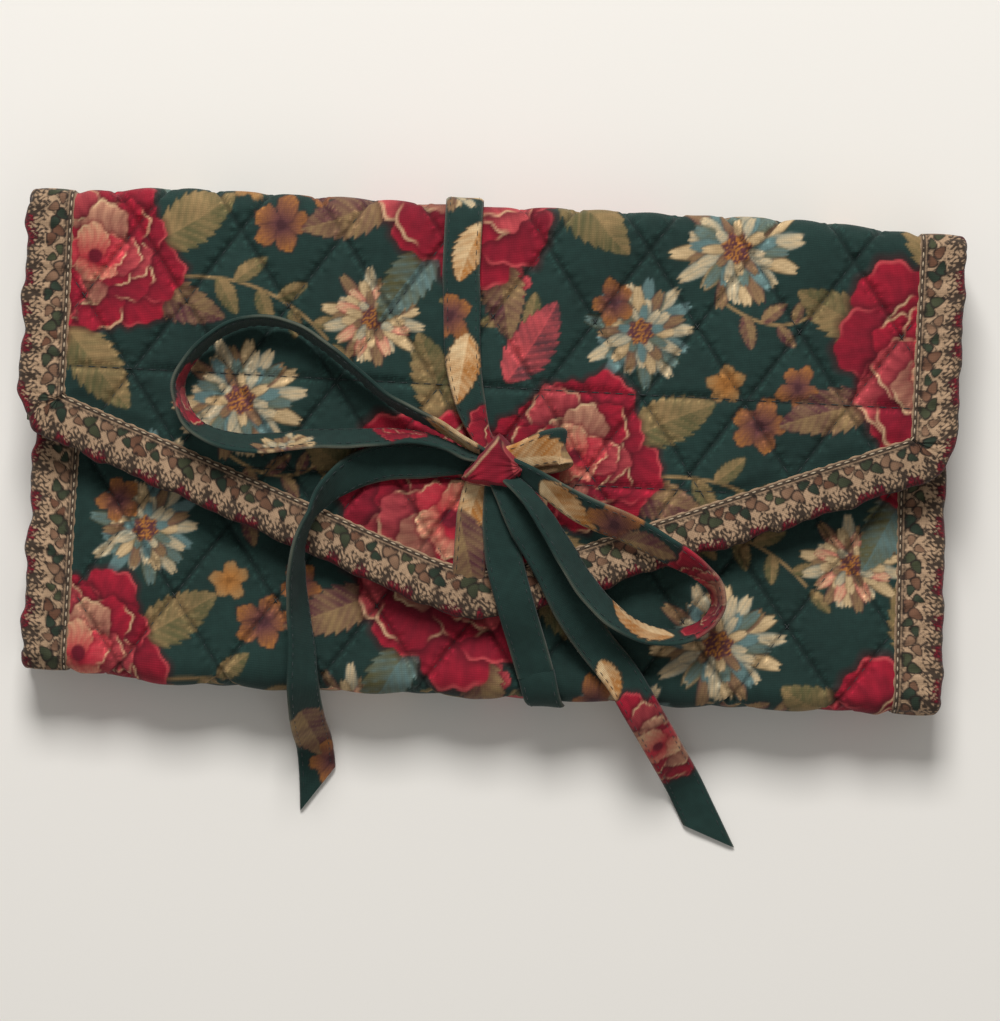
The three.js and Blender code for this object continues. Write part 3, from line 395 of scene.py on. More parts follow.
class SheetPath:
    """Section of the folded sheet: straight stretches and folds, from the flap's point to the leaf's edge."""

    def __init__(self, start, place, stretches):
        self.rows = []
        y, z = place
        heading = 0.0
        for length, turn in stretches:
            self.rows.append((start, length, turn, y, z, heading))
            if turn:
                radius = length / turn
                y += radius * (math.sin(heading) - math.sin(heading - turn))
                z -= radius * (math.cos(heading) - math.cos(heading - turn))
                heading -= turn
            else:
                y += length * math.cos(heading)
                z += length * math.sin(heading)
            start += length
        self.marks = [row[0] for row in self.rows]

    def at(self, s, height):
        """Places (y, z) of points s along the sheet and a height out from its quilting seams."""
        y = np.zeros_like(s)
        z = np.zeros_like(s)
        which = np.clip(np.searchsorted(self.marks, s, side="right") - 1, 0, len(self.rows) - 1)
        for index, (start, length, turn, y0, z0, heading) in enumerate(self.rows):
            here = which == index
            along = s[here] - start
            out = height[here]
            if turn:
                radius = length / turn
                facing = heading - along / radius
                reach = np.maximum(radius + out, 0.12)
                y[here] = y0 + radius * math.sin(heading) - reach * np.sin(facing)
                z[here] = z0 - radius * math.cos(heading) + reach * np.cos(facing)
            else:
                y[here] = y0 + along * math.cos(heading) - out * math.sin(heading)
                z[here] = z0 + along * math.sin(heading) + out * math.cos(heading)
        return y, z


def leaf_bend_height():
    """Height of the middle of the leaf's fold, so that the leaf leaves it at its own slope."""
    slope = math.sin(LEAF_TILT)
    level = math.cos(LEAF_TILT)
    seam = LEAF_PIVOT[0] * slope + LEAF_PIVOT[1] * level + LEAF_LIFT
    return (seam - FOLD_RADIUS + BEND_Y * slope) / level


QUARTER = math.pi / 2
LEAF_TURN = QUARTER + LEAF_TILT
SPINE_FOOT = BACK_SEAM + FOLD_RADIUS
SHEET_START = -45.0
PATH = SheetPath(SHEET_START, (SHEET_START, FLAP_SEAM), (
    (BEND_Y - SHEET_START, 0),
    (FOLD_RADIUS * QUARTER, QUARTER),
    (FLAP_SEAM - FOLD_RADIUS - SPINE_FOOT, 0),
    (FOLD_RADIUS * QUARTER, QUARTER),
    (2 * BEND_Y, 0),
    (FOLD_RADIUS * QUARTER, QUARTER),
    (leaf_bend_height() - SPINE_FOOT, 0),
    (FOLD_RADIUS * LEAF_TURN, LEAF_TURN),
    (LEAF_REACH + 10, 0),
))
_, TOP_BEND, TOP_SPINE, BACK_BEND, BACK_START, BACK_END, FRONT_SPINE, LEAF_BEND, LEAF_START = PATH.marks
TOP_MID = (TOP_SPINE + BACK_BEND) / 2
BACK_MID = (BACK_START + BACK_END) / 2
FRONT_MID = (FRONT_SPINE + LEAF_BEND) / 2
LEAF_START_Y = -BEND_Y + FOLD_RADIUS * math.sin(LEAF_TILT)
LEAF_END = LEAF_START + LEAF_REACH - (LEAF_START_Y - LEAF_PIVOT[0]) / math.cos(LEAF_TILT)


def back_station(y):
    """Distance along the sheet of a place y on the back."""
    return BACK_START + BEND_Y - y


def leaf_station(y):
    """Distance along the sheet of a place y on the front leaf."""
    return LEAF_START + (y - LEAF_START_Y) / math.cos(LEAF_TILT)


def fold_share(s, start, first, last, end):
    """One between two marks along the sheet, easing to nothing at a start before and an end after them."""
    return ease((s - start) / (first - start)) * ease((end - s) / (end - last))


def within(x, half):
    """Nothing at the bindings of a stretch of a half width, and one further in."""
    return ease((half - BINDING_WIDTH - np.abs(x)) / SWELL_FADE)


def wrap(x, s, height):
    """Points of the folded sheet in metres, from flat places in millimetres.

    The folds swell between their bindings, the top one less where the tie holds it.
    The front leaf and its fold lie a little wide on the right.
    """
    held = 1 - TIE_HOLD * bell(x - TIE_TOP_X, TIE_HOLD_REACH)
    top = fold_share(s, TOP_BEND, TOP_SPINE, BACK_BEND, BACK_START) * within(x, FLAP_HALF)
    bottom = fold_share(s, BACK_END, FRONT_SPINE, LEAF_BEND, LEAF_START) * within(x, BODY_HALF)
    swell = TOP_SWELL * held * top + np.interp(x, BOTTOM_SWELL_X, BOTTOM_SWELL) * bottom
    y, z = PATH.at(s, height + swell)
    flare = np.interp(s, (BACK_MID, FRONT_SPINE, LEAF_START, LEAF_END), LEAF_FLARE)
    x = x + flare * np.clip(x / BODY_HALF, 0, 1) ** 2
    return np.stack((x, y, z), axis=1) * MM


def half_width(s):
    """Half the sheet's width: the flap and its fold overhang the rest."""
    narrowing = ease((s - TOP_MID) / (BACK_START + OVERHANG_FADE - TOP_MID))
    return FLAP_HALF + (BODY_HALF - FLAP_HALF) * narrowing


# Flap and leaf have their own places for the seams, so the back's diamonds stretch a little between them.
LEAF_CROSSING = leaf_station(LEAF_CROSSING_Y)
LEAF_PHASE = DIAMOND_HEIGHT * round((LEAF_CROSSING - FLAP_CROSSING) / DIAMOND_HEIGHT)
LATTICE_S = (FLAP_TIP - LATTICE_MARGIN, BACK_START, BACK_END, LEAF_END + LATTICE_MARGIN)
LATTICE_L = (
    LATTICE_S[0] - FLAP_CROSSING,
    BACK_START - FLAP_CROSSING,
    BACK_END - LEAF_CROSSING + LEAF_PHASE,
    LATTICE_S[3] - LEAF_CROSSING + LEAF_PHASE,
)


def hem_distance(x, s):
    """Distance from a place on the sheet to the hem of the binding, along the cloth."""
    side = half_width(s) - BINDING_WIDTH - np.abs(x)
    point = (s - FLAP_TIP) * math.cos(POINT_TILT) - np.abs(x) * math.sin(POINT_TILT) - BINDING_WIDTH
    far = LEAF_END - BINDING_WIDTH - s
    return np.minimum(np.minimum(side, far), np.where(s < TOP_BEND, point, np.inf))


def diamond_seams(x, s):
    """Both sets of diamond seams: sign, phase across them, place along them and distance to the nearest."""
    rows = np.interp(s, LATTICE_S, LATTICE_L)
    steep = math.hypot(1 / DIAMOND_WIDTH, 1 / DIAMOND_HEIGHT)
    for sign in (1, -1):
        phase = x / DIAMOND_WIDTH + sign * rows / DIAMOND_HEIGHT
        along = (sign * x / DIAMOND_HEIGHT - rows / DIAMOND_WIDTH) / steep
        yield sign, phase, along, np.abs(phase - np.round(phase)) / steep


def seam_distance(x, s):
    """Distance along the cloth to the nearest quilting or zipper seam."""
    least = np.minimum(np.abs(s - ZIP_SEAMS[0]), np.abs(s - ZIP_SEAMS[1]))
    for _, _, _, distance in diamond_seams(x, s):
        least = np.minimum(least, distance)
    return least


def quilt_height(x, s):
    """Height of the padded cover over its seams: full diamonds, puckered beside their stitches."""
    puff = np.ones_like(x)
    height = np.zeros_like(x)
    for sign, phase, along, distance in diamond_seams(x, s):
        puff *= np.abs(np.sin(math.pi * phase))
        beside = PUCKER * bell(distance - PUCKER_PLACE, 1.0)
        for length, share, turn in PUCKER_WAVES:
            height += share * beside * np.sin(2 * math.pi * along / length + turn * sign)
        height -= SEAM_DIP * bell(distance, SEAM_WIDTH)
    height += LOFT * np.power(puff, 0.55)
    height += 0.2 * np.sin(x / 7.3 + 2 * np.sin(s / 11.0)) * np.power(puff, 0.8)
    height += 0.09 * np.sin(x / 1.9 + s / 2.6 + 2 * np.sin(x / 9)) * np.sin(s / 3.1 - x / 4.3)
    for seam in ZIP_SEAMS:
        height *= 1 - 0.75 * bell(s - seam, 1.3)
        height += 0.08 * np.sin(2 * math.pi * x / 3.3) * bell(np.abs(s - seam) - 1.4, 1.0)
    height *= 0.12 + 0.88 * ease((hem_distance(x, s) + 0.6) / 4.5)
    under = (s > BACK_BEND) & (s < FRONT_SPINE)
    return np.where(under, np.minimum(height, BACK_LOFT), height)


class Cloth:
    """Points of a cloth in flat millimetres, and the colour printed at each."""

    def __init__(self, x, y, ground):
        self.x = x
        self.y = y
        self.rgb = np.tile(np.asarray(ground, float), (len(x), 1))

    def near(self, x, y, turn, reach):
        """Indices of the points within reach, and their places along and across a turned motif."""
        picked = np.flatnonzero((np.abs(self.x - x) < reach) & (np.abs(self.y - y) < reach))
        dx = self.x[picked] - x
        dy = self.y[picked] - y
        along = dx * math.cos(turn) + dy * math.sin(turn)
        across = dy * math.cos(turn) - dx * math.sin(turn)
        return picked, along, across

    def lay(self, picked, cover, colour):
        """Prints a colour, one for all points or one each, with a cover from 0 to 1."""
        share = np.clip(cover, 0, 1)[:, None]
        self.rgb[picked] = self.rgb[picked] * (1 - share) + np.asarray(colour) * share

    def lay_all(self, cover, colour):
        """Prints a colour on every point."""
        self.lay(slice(None), cover, colour)


def mixed(first, second, share):
    first = np.asarray(first)
    return first + (np.asarray(second) - first) * np.asarray(share)[:, None]


def print_petal(cloth, x, y, turn, long, wide, dark, light, rim):
    """A broad ruffled petal: shaded towards its root, brushed, with a broken pale rim at its lip."""
    picked, a, b = cloth.near(x, y, turn, 1.35 * max(long, wide))
    if not len(picked):
        return
    a = a / long
    b = b / wide
    around = np.arctan2(b, a)
    reach = np.hypot(a, b) * (1 + 0.06 * np.sin(5 * around + x) + 0.04 * np.sin(11 * around + y))
    edge = 0.35 / min(long, wide)
    cloth.lay(picked, 0.55 * soft(1.13 - reach, 0.2), 0.4 * np.asarray(dark))
    inside = soft(1 - reach, edge)
    fan = np.arctan2(b, a + 1.6)
    brush = 0.5 + 0.5 * np.sin(26 * fan + 1.8 * np.sin(4 * a + x) + y)
    hair = 0.5 + 0.5 * np.sin(63 * fan + 5 * a + x)
    share = np.clip(0.5 + 0.5 * a, 0, 1) ** 1.2 * (0.55 + 0.3 * brush + 0.15 * hair)
    cloth.lay(picked, inside, mixed(dark, light, share))
    broken = ease(0.45 + 0.9 * np.sin(2.7 * around + 1.7 * x + y))
    lip = inside * soft(reach - 0.93, 0.06) * np.clip(0.3 + a, 0, 1) * broken
    cloth.lay(picked, 0.75 * lip, rim)


def print_bloom(cloth, x, y, size, turn, hue):
    """A large full bloom: rings of petals that close towards a small heart."""
    glow = mixed(hue.rose, hue.cream, [0.6])[0]
    rings = (
        (10, 0.66, 0.36, 0.34, hue.crimson, (hue.red, hue.red, hue.red), hue.rose),
        (9, 0.49, 0.33, 0.30, hue.crimson, (hue.red, hue.red, hue.rose), hue.cream),
        (7, 0.32, 0.28, 0.25, hue.crimson, (hue.red, hue.rose, glow), hue.cream),
        (5, 0.16, 0.22, 0.18, hue.red, (hue.rose, hue.cream, glow), hue.cream),
    )
    for ring, (count, out, long, wide, dark, lights, rim) in enumerate(rings):
        for k in range(count):
            angle = turn + 2 * math.pi * (k + 0.5 * ring) / count + 0.16 * math.sin(3.1 * k + ring)
            grow = size * (1 + 0.14 * math.sin(4.7 * k + 2 * ring + turn))
            place = (x + out * grow * math.cos(angle), y + out * grow * math.sin(angle))
            lit = 0.55 + 0.45 * math.sin(2.3 * k + ring + turn) ** 2
            tone = mixed(dark, lights[(k + ring) % 3], [lit])[0]
            twist = angle + 0.3 * math.sin(5.3 * k + turn)
            print_petal(cloth, *place, twist, long * grow, wide * grow, dark, tone, rim)
    picked, a, b = cloth.near(x, y, 0, 0.16 * size)
    cloth.lay(picked, soft(0.09 * size - np.hypot(a, b), 0.5), hue.crimson)


def print_ray(cloth, x, y, turn, long, wide, dark, light):
    """A narrow ray of an aster, widest near its notched tip."""
    picked, a, b = cloth.near(x, y, turn, 1.1 * long)
    if not len(picked):
        return
    share = np.clip(a / long, 0, 1)
    half = wide * np.sin(math.pi * share ** 1.3) ** 0.7
    notch = 0.1 * long * bell(b, 0.35 * wide)
    body = soft(long - notch - a, 0.5) * soft(a - 0.1 * long, 0.4)
    cloth.lay(picked, 0.6 * soft(half + 0.3 - np.abs(b), 0.3) * body, 0.5 * np.asarray(dark))
    inside = soft(half - np.abs(b), 0.3) * body
    cloth.lay(picked, inside, mixed(dark, light, share ** 0.7 * (0.72 + 0.28 * np.cos(3 * b / wide))))
    cloth.lay(picked, 0.4 * inside * soft(0.2 - np.abs(b), 0.2), dark)


def print_aster(cloth, x, y, size, turn, outer, inner, hue):
    """An aster of three rings of narrow rays about a speckled heart."""
    for ring, (count, reach, colours) in enumerate(((21, 1.0, outer), (17, 0.78, inner), (11, 0.52, outer))):
        for k in range(count):
            angle = turn + 2 * math.pi * (k + 0.4 * ring) / count + 0.1 * math.sin(5 * k + ring)
            long = size * reach * (1 + 0.16 * math.sin(2.9 * k + turn + ring))
            dark, light = colours[(k + ring) % len(colours)]
            print_ray(cloth, x, y, angle, long, 0.1 * size * reach + 0.35, dark, light)
    picked, a, b = cloth.near(x, y, turn, 0.3 * size)
    radius = np.hypot(a, b) * (1 + 0.12 * np.sin(7 * np.arctan2(b, a)))
    speck = soft(np.sin(3.7 * a + 1.9 * np.sin(2.1 * b)) * np.sin(3.3 * b + 1.7 * np.sin(2.9 * a)) - 0.2, 0.5)
    cloth.lay(picked, soft(0.23 * size - radius, 0.6), mixed(hue.mauve, hue.ochre, speck))


def print_blossom(cloth, x, y, size, turn, dark, light):
    """A small five-petalled blossom."""
    for k in range(5):
        angle = turn + 2 * math.pi * k / 5 + 0.15 * math.sin(4 * k + turn)
        long = size * (0.46 + 0.08 * math.sin(3.3 * k + x))
        place = (x + 0.55 * size * math.cos(angle), y + 0.55 * size * math.sin(angle))
        print_petal(cloth, *place, angle, long, 0.36 * size, dark, light, light)
    picked, a, b = cloth.near(x, y, turn, 0.4 * size)
    cloth.lay(picked, soft(0.18 * size - np.hypot(a, b), 0.5), 0.6 * np.asarray(dark))


def print_leaf(cloth, x, y, turn, long, wide, dark, light):
    """A toothed leaf with a midrib and side veins, its two halves in two shades."""
    picked, a, b = cloth.near(x, y, turn, 1.15 * long)
    if not len(picked):
        return
    b = b - 0.12 * wide * np.sin(1.6 * a / long + x)
    share = np.clip(0.5 + 0.5 * a / long, 0, 1)
    tooth = 0.92 + 0.24 * (((share - 0.2 * np.abs(b) / long) * 9) % 1)
    half = wide * np.sin(math.pi * share ** 0.85) ** 0.8 * tooth
    ends = soft(long - 0.3 - np.abs(a), 0.5)
    cloth.lay(picked, 0.5 * ends * soft(half + 0.35 - np.abs(b), 0.4), 0.45 * np.asarray(dark))
    inside = ends * soft(half - np.abs(b), 0.35)
    shade = np.where(b > 0, 0.85, 0.3) * (1 - 0.45 * share) + 0.16 * np.sin(0.7 * a + x)
    hatch = 0.12 * np.sin(2.6 * (a - 0.9 * np.abs(b)))
    cloth.lay(picked, inside, mixed(dark, light, np.clip(shade + hatch, 0, 1)))
    vein = np.abs(((a - 0.9 * np.abs(b)) / (0.22 * long)) % 1 - 0.5)
    cloth.lay(picked, 0.4 * inside * soft(0.05 - vein, 0.06), light)
    cloth.lay(picked, 0.6 * inside * soft(0.2 - np.abs(b), 0.25), light)


def print_stem(cloth, line, colour):
    """A thin stem along a line."""
    low = line.min(0) - 2
    high = line.max(0) + 2
    inside = (cloth.x > low[0]) & (cloth.x < high[0]) & (cloth.y > low[1]) & (cloth.y < high[1])
    picked = np.flatnonzero(inside)
    if not len(picked):
        return
    points = np.stack((cloth.x[picked], cloth.y[picked]), axis=1)
    least = np.full(len(picked), 1e9)
    for a, b in zip(line[:-1], line[1:]):
        step = b - a
        t = np.clip(((points - a) @ step) / (step @ step), 0, 1)
        least = np.minimum(least, np.linalg.norm(points - a - t[:, None] * step, axis=1))
    cloth.lay(picked, soft(0.36 - least, 0.35), colour)


def print_sprig(cloth, start, middle, end, leaves, size, dark, light):
    """A curved stem with small leaves on both sides and one at its tip."""
    line = curve(start, middle, end, 26)
    print_stem(cloth, line, light)
    for k in range(leaves):
        index = round(5 + 20 * k / leaves)
        ahead = line[min(index + 1, len(line) - 1)] - line[index - 1]
        side = 1 if k % 2 else -1
        turn = math.atan2(ahead[1], ahead[0]) + side * 0.9
        long = size * (1 - 0.4 * k / leaves)
        place = line[index] + 0.95 * long * np.array((math.cos(turn), math.sin(turn)))
        print_leaf(cloth, *place, turn, long, 0.4 * long, dark, light)
    ahead = line[-1] - line[-2]
    tip = line[-1] + 3 * ahead
    print_leaf(cloth, *tip, math.atan2(ahead[1], ahead[0]), 0.7 * size, 0.26 * size, dark, light)


def aster_rays(hue):
    """Cool, warm and pale colours of the rays of an aster, in pairs from root to tip."""
    cool = ((hue.blue, hue.cream), (hue.olive, hue.blue), (hue.blue, hue.blue))
    warm = ((hue.tan, hue.cream), (hue.mauve, hue.tan), (hue.blue, hue.cream))
    pale = ((hue.rose, hue.cream), (hue.tan, hue.cream))
    return cool, warm, pale


def print_repeat(cloth, x, y, hue):
    """One repeat of the floral print, with its corner at x, y."""
    corner = np.array((x, y))
    cool, warm, pale = aster_rays(hue)
    fresh = (hue.olive, hue.tan)
    dry = (hue.mauve, hue.tan)
    small = (hue.mauve, hue.ochre)
    for start, middle, end, leaves, size, colours in (
        ((82, 48), (104, 50), (119, 34), 6, 5.5, fresh),
        ((52, 78), (40, 92), (30, 90), 4, 5.0, fresh),
        ((96, 92), (108, 84), (117, 90), 4, 4.6, dry),
    ):
        print_sprig(cloth, corner + start, corner + middle, corner + end, leaves, size, *colours)
    for place, turn, long, wide, colours in (
        ((1, 22), 3.5, 13, 5.4, dry),
        ((3, 46), 2.6, 13, 5.6, fresh),
        ((24, 69), 1.9, 13, 5.6, fresh),
        ((48, 80), 1.1, 12, 5.4, (hue.mauve, hue.rose)),
        ((84, 62), 0.5, 12, 5.6, fresh),
        ((82, 42), -0.3, 12, 4.8, dry),
        ((62, 24), -0.8, 13, 5.8, fresh),
        ((40, 3), -1.3, 11, 5.0, dry),
        ((16, 5), -2.1, 12, 5.2, (hue.olive, hue.blue)),
    ):
        print_leaf(cloth, *(corner + place), turn, long, wide, *colours)
    for place, size, turn, outer, inner in (
        ((98, 18), 15.5, 0.5, warm, cool),
        ((75, 84), 13.5, 0.9, cool, warm),
        ((8, 84), 12.0, 0.2, warm, pale),
    ):
        print_aster(cloth, *(corner + place), size, turn, outer, inner, hue)
    for place, size, turn in (((60, 52), 20, 1.1), ((30, 35), 27, 0.4)):
        print_bloom(cloth, *(corner + place), size, turn, hue)
    for place, size, turn, colours in (
        ((106, 62), 7.0, 0.1, small),
        ((115, 72), 5.4, 1.0, small),
        ((97, 72), 4.8, 0.4, (hue.ochre, hue.tan)),
        ((42, 94), 5.5, 0.2, (hue.crimson, hue.rose)),
        ((68, 3), 5.6, 0.7, small),
    ):
        print_blossom(cloth, *(corner + place), size, turn, *colours)


def ground_of(x, y, hue):
    """A bare cloth in the print's ground, a little uneven."""
    cloth = Cloth(x, y, hue.ground)
    tone = 1 + 0.12 * np.sin(x / 9.1 + 2 * np.sin(y / 13.0)) * np.sin(y / 7.7)
    cloth.rgb *= tone[:, None]
    return cloth


def print_floral(x, y, hue, shift):
    """Colours of the floral print: repeats in columns, each half a repeat lower than the last."""
    cloth = ground_of(x + shift[0], y + shift[1], hue)
    margin = 30.0
    first = math.floor((cloth.x.min() - margin) / REPEAT_WIDTH)
    last = math.ceil((cloth.x.max() + margin) / REPEAT_WIDTH)
    for column in range(first, last):
        drop = REPEAT_HEIGHT / 2 * (column % 2)
        low = math.floor((cloth.y.min() - margin - drop) / REPEAT_HEIGHT)
        high = math.ceil((cloth.y.max() + margin - drop) / REPEAT_HEIGHT)
        for row in range(low, high):
            print_repeat(cloth, column * REPEAT_WIDTH, row * REPEAT_HEIGHT + drop, hue)
    return cloth.rgb


def print_strap(u, v, hue, motifs):
    """Colours of a strap cut from the same cloth. A motif is its kind, place along and across, and size."""
    cloth = ground_of(u, v, hue)
    _, warm, _ = aster_rays(hue)
    for kind, along, across, size in motifs:
        if kind == "bloom":
            print_bloom(cloth, along, across, size, along, hue)
        elif kind == "aster":
            print_aster(cloth, along, across, size, along, warm, warm, hue)
        elif kind == "blossom":
            print_blossom(cloth, along, across, size, along, hue.mauve, hue.ochre)
        elif kind == "tan":
            print_leaf(cloth, along, across, 0.3, size, 0.45 * size, hue.ochre, hue.cream)
        elif kind == "mauve":
            print_leaf(cloth, along, across, -0.2, size, 0.5 * size, hue.mauve, hue.tan)
    return cloth.rgb


def flecks(u, w):
    """A lacy unevenness from -1 to 1, a millimetre or so across."""
    coarse = np.sin(4.1 * u + 2.3 * np.sin(1.9 * w + 0.7 * u)) * np.sin(3.7 * w + 2.1 * np.sin(2.3 * u))
    fine = np.sin(8.3 * u + 1.7 * np.sin(5.1 * w)) * np.sin(7.1 * w + 1.9 * np.sin(4.3 * u))
    return 0.55 * coarse + 0.45 * fine


def lay_leaf_row(cloth, u, w, start, level, long, wide, turn, hue):
    """A row of small outlined leaves along a binding, green and brown in turn."""
    number = np.round((u - start) / BORDER_PERIOD)
    du = u - start - number * BORDER_PERIOD + 0.5 * np.sin(5.3 * number)
    dw = w - level - 0.4 * np.sin(2.1 * number)
    tilt = turn + 0.5 * np.sin(1.7 * number)
    grow = 1 + 0.18 * np.sin(3.9 * number)
    a = (du * np.cos(tilt) + dw * np.sin(tilt)) / (long * grow)
    b = (dw * np.cos(tilt) - du * np.sin(tilt)) / (wide * grow)
    reach = np.hypot(a, b * (1 + 0.45 * a))
    cloth.lay_all(soft(1.25 - reach, 0.18), hue.binding_twig)
    green = mixed(hue.binding_leaf, hue.olive, 0.2 + 0.2 * np.sin(1.3 * number))
    brown = mixed(hue.binding_brown, hue.binding, 0.15 + 0.15 * np.sin(number))
    body = np.where((number % 2 == 0)[:, None], green, brown)
    cloth.lay_all(soft(1 - reach, 0.22), body * (1 - 0.25 * a[:, None]))


def print_binding(u, w, arc, hue):
    """Colours of the binding: u along it, w in from its outer edge and below zero on the inner side.

    arc is the way across the cloth, for the speckle.
    """
    cloth = Cloth(u, w, hue.binding)
    side = np.abs(w)
    lace = flecks(u, arc)
    hooks = np.sin(3.3 * u + 1.6 * np.sin(2.1 * arc)) * np.sin(2.6 * arc + 1.5 * np.sin(2.4 * u))
    cloth.rgb *= (1 + 0.1 * lace)[:, None]
    twig = side - BORDER_TWIG - 0.9 * np.sin(2 * math.pi * u / BORDER_PERIOD)
    cloth.lay_all(0.85 * soft(0.2 - np.abs(twig), 0.22), hue.binding_twig)
    for row in BORDER_LEAVES:
        lay_leaf_row(cloth, u, side, *row, hue)
    lines = sum(soft(half - np.abs(side - level), 0.2) for level, half in BORDER_LINES)
    cloth.lay_all(0.9 * lines, hue.binding_twig)
    dots = soft(hooks + 0.1, 0.3) * soft(0.45 - np.abs(side - BORDER_DOTS), 0.2)
    cloth.lay_all(0.8 * dots, hue.binding_twig)
    share = np.clip((BORDER_SPECKLE + 0.6 * np.sin(1.9 * u) - side) / BORDER_SPECKLE, 0, 1)
    speckle = soft(hooks - 0.15 + 0.75 * share, 0.25) * soft(share - 0.04, 0.08)
    cloth.lay_all(0.92 * speckle, hue.binding_twig)
    cluster = ease(0.5 + 0.9 * np.cos(2 * math.pi * u / 10.3 + 1.5 * np.sin(u / 6.3)))
    flame = cluster * (1.9 + 0.9 * hooks) + 0.6 * lace + 0.4 - side
    cloth.lay_all(0.95 * soft(flame, 0.4), hue.binding_edge)
    cloth.lay_all(0.5 * soft(flame - 0.8, 0.4) * soft(lace - 0.1, 0.3), hue.red)
    cloth.lay_all(0.8 * soft(0.45 + 0.4 * lace - side, 0.4), hue.binding_twig)
    return cloth.rgb


def new_object(name, mesh):
    thing = bpy.data.objects.new(name, mesh)
    bpy.context.scene.collection.objects.link(thing)
    return thing


def object_from(name, shape):
    """An object of a finished bmesh, which is freed."""
    mesh = bpy.data.meshes.new(name)
    shape.to_mesh(mesh)
    shape.free()
    return new_object(name, mesh)


def smooth(thing):
    thing.data.shade_smooth()
    return thing


def points_of(thing):
    flat = np.zeros(3 * len(thing.data.vertices), np.float32)
    thing.data.vertices.foreach_get("co", flat)
    return flat.reshape(-1, 3).astype(float)


def move_points(thing, places):
    thing.data.vertices.foreach_set("co", places.astype(np.float32).ravel())
    thing.data.update()


def set_weave(thing, x, y):
    """Cloth coordinates in metres, for the weave."""
    corners = np.zeros(len(thing.data.loops), np.int32)
    thing.data.loops.foreach_get("vertex_index", corners)
    layer = thing.data.uv_layers.new(name="Cloth")
    layer.data.foreach_set("uv", (np.stack((x, y), axis=1)[corners] * MM).astype(np.float32).ravel())


def set_print(thing, rgb):
    """The printed colour of each point."""
    paint = thing.data.color_attributes.new("Print", "FLOAT_COLOR", "POINT")
    rgba = np.concatenate((rgb, np.ones((len(rgb), 1))), axis=1)
    paint.data.foreach_set("color", rgba.astype(np.float32).ravel())


def grid_shape(columns, rows, low, high):
    """A flat grid between two corners in millimetres."""
    shape = bmesh.new()
    bmesh.ops.create_grid(shape, x_segments=columns, y_segments=rows, size=0.5)
    span = (high[0] - low[0], high[1] - low[1], 1)
    bmesh.ops.scale(shape, vec=span, verts=shape.verts)
    middle = ((low[0] + high[0]) / 2, (low[1] + high[1]) / 2, 0)
    bmesh.ops.translate(shape, vec=middle, verts=shape.verts)
    return shape


def index_grid(name, columns, rows):
    """An object of a grid, and the column and row of each of its points."""
    thing = object_from(name, grid_shape(columns, rows, (0, 0), (columns, rows)))
    flat = np.round(points_of(thing)).astype(int)
    return thing, flat[:, 0], flat[:, 1]


def trim(shape, place, normal):
    """Cuts away what lies on the side of a plane that its normal points to."""
    parts = shape.verts[:] + shape.edges[:] + shape.faces[:]
    bmesh.ops.bisect_plane(shape, geom=parts, plane_co=place, plane_no=normal, clear_outer=True)


def trim_point(shape, inset):
    """Cuts a grid to the flap's point, drawn in by an inset."""
    tip = (0, FLAP_TIP + inset / math.cos(POINT_TILT), 0)
    for side in (1, -1):
        trim(shape, tip, (side * math.sin(POINT_TILT), -math.cos(POINT_TILT), 0))


def add_material(thing, material):
    thing.data.materials.clear()
    thing.data.materials.append(material)
    return thing


# Where a piece that crosses a fold turns from one body to the other
BENDS = {
    "flap": ("top_fold", "flap", TOP_SPINE, TOP_BEND),
    "top": ("back", "top_fold", BACK_START, BACK_BEND),
    "bottom": ("back", "bottom_fold", BACK_END, FRONT_SPINE),
    "front": ("bottom_fold", "front", LEAF_BEND, LEAF_START),
}


def bend(thing, fold):
    """Bakes a piece's transform into its mesh; the piece is not made to turn with the fold."""
    first, second, start, end = BENDS[fold]
    ends = wrap(np.zeros(2), np.array((start, end)), np.zeros(2))
    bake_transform(thing)
    return thing


def new_finish(name, values):
    """A new material, its node tree and its shader, whose inputs get the values."""
    material = bpy.data.materials.new(name)
    material.use_nodes = True
    shader = material.node_tree.nodes["Principled BSDF"]
    for key, value in values.items():
        shader.inputs[key].default_value = value
    return material, material.node_tree, shader


def node_of(tree, kind, values=None, feeds=None, **settings):
    """A node with its settings, the values of its inputs and the outputs that feed them."""
    node = tree.nodes.new(kind)
    for key, value in settings.items():
        setattr(node, key, value)
    for key, value in (values or {}).items():
        node.inputs[key].default_value = value
    for key, output in (feeds or {}).items():
        tree.links.new(output, node.inputs[key])
    return node


def clouds(tree, place, scale, detail=2):
    """A cloudy unevenness."""
    noise = node_of(tree, "ShaderNodeTexNoise", {"Scale": scale, "Detail": detail}, {"Vector": place})
    return noise.outputs["Fac"]


def spread(tree, value, low, high, start=0, end=1):
    """A value between start and end, spread out from low to high."""
    limits = {"From Min": start, "From Max": end, "To Min": low, "To Max": high}
    return node_of(tree, "ShaderNodeMapRange", limits, {"Value": value}).outputs["Result"]


def product(tree, first, second):
    return node_of(tree, "ShaderNodeMath", feeds={0: first, 1: second}, operation="MULTIPLY").outputs[0]


def dye(tree, shader, tone, colour=None):
    """Colours a finish, with its print where no colour is given, lighter and darker by a tone."""
    dyed = node_of(tree, "ShaderNodeVectorMath", feeds={"Scale": tone}, operation="SCALE")
    if colour is None:
        printed = node_of(tree, "ShaderNodeAttribute", attribute_name="Print")
        tree.links.new(printed.outputs["Color"], dyed.inputs[0])
    else:
        dyed.inputs[0].default_value = colour
    tree.links.new(dyed.outputs[0], shader.inputs["Base Color"])


def roughen(tree, shader, height, strength, depth):
    """Gives a finish a fine relief."""
    bump = node_of(tree, "ShaderNodeBump", {"Strength": strength, "Distance": depth}, {"Height": height})
    tree.links.new(bump.outputs["Normal"], shader.inputs["Normal"])


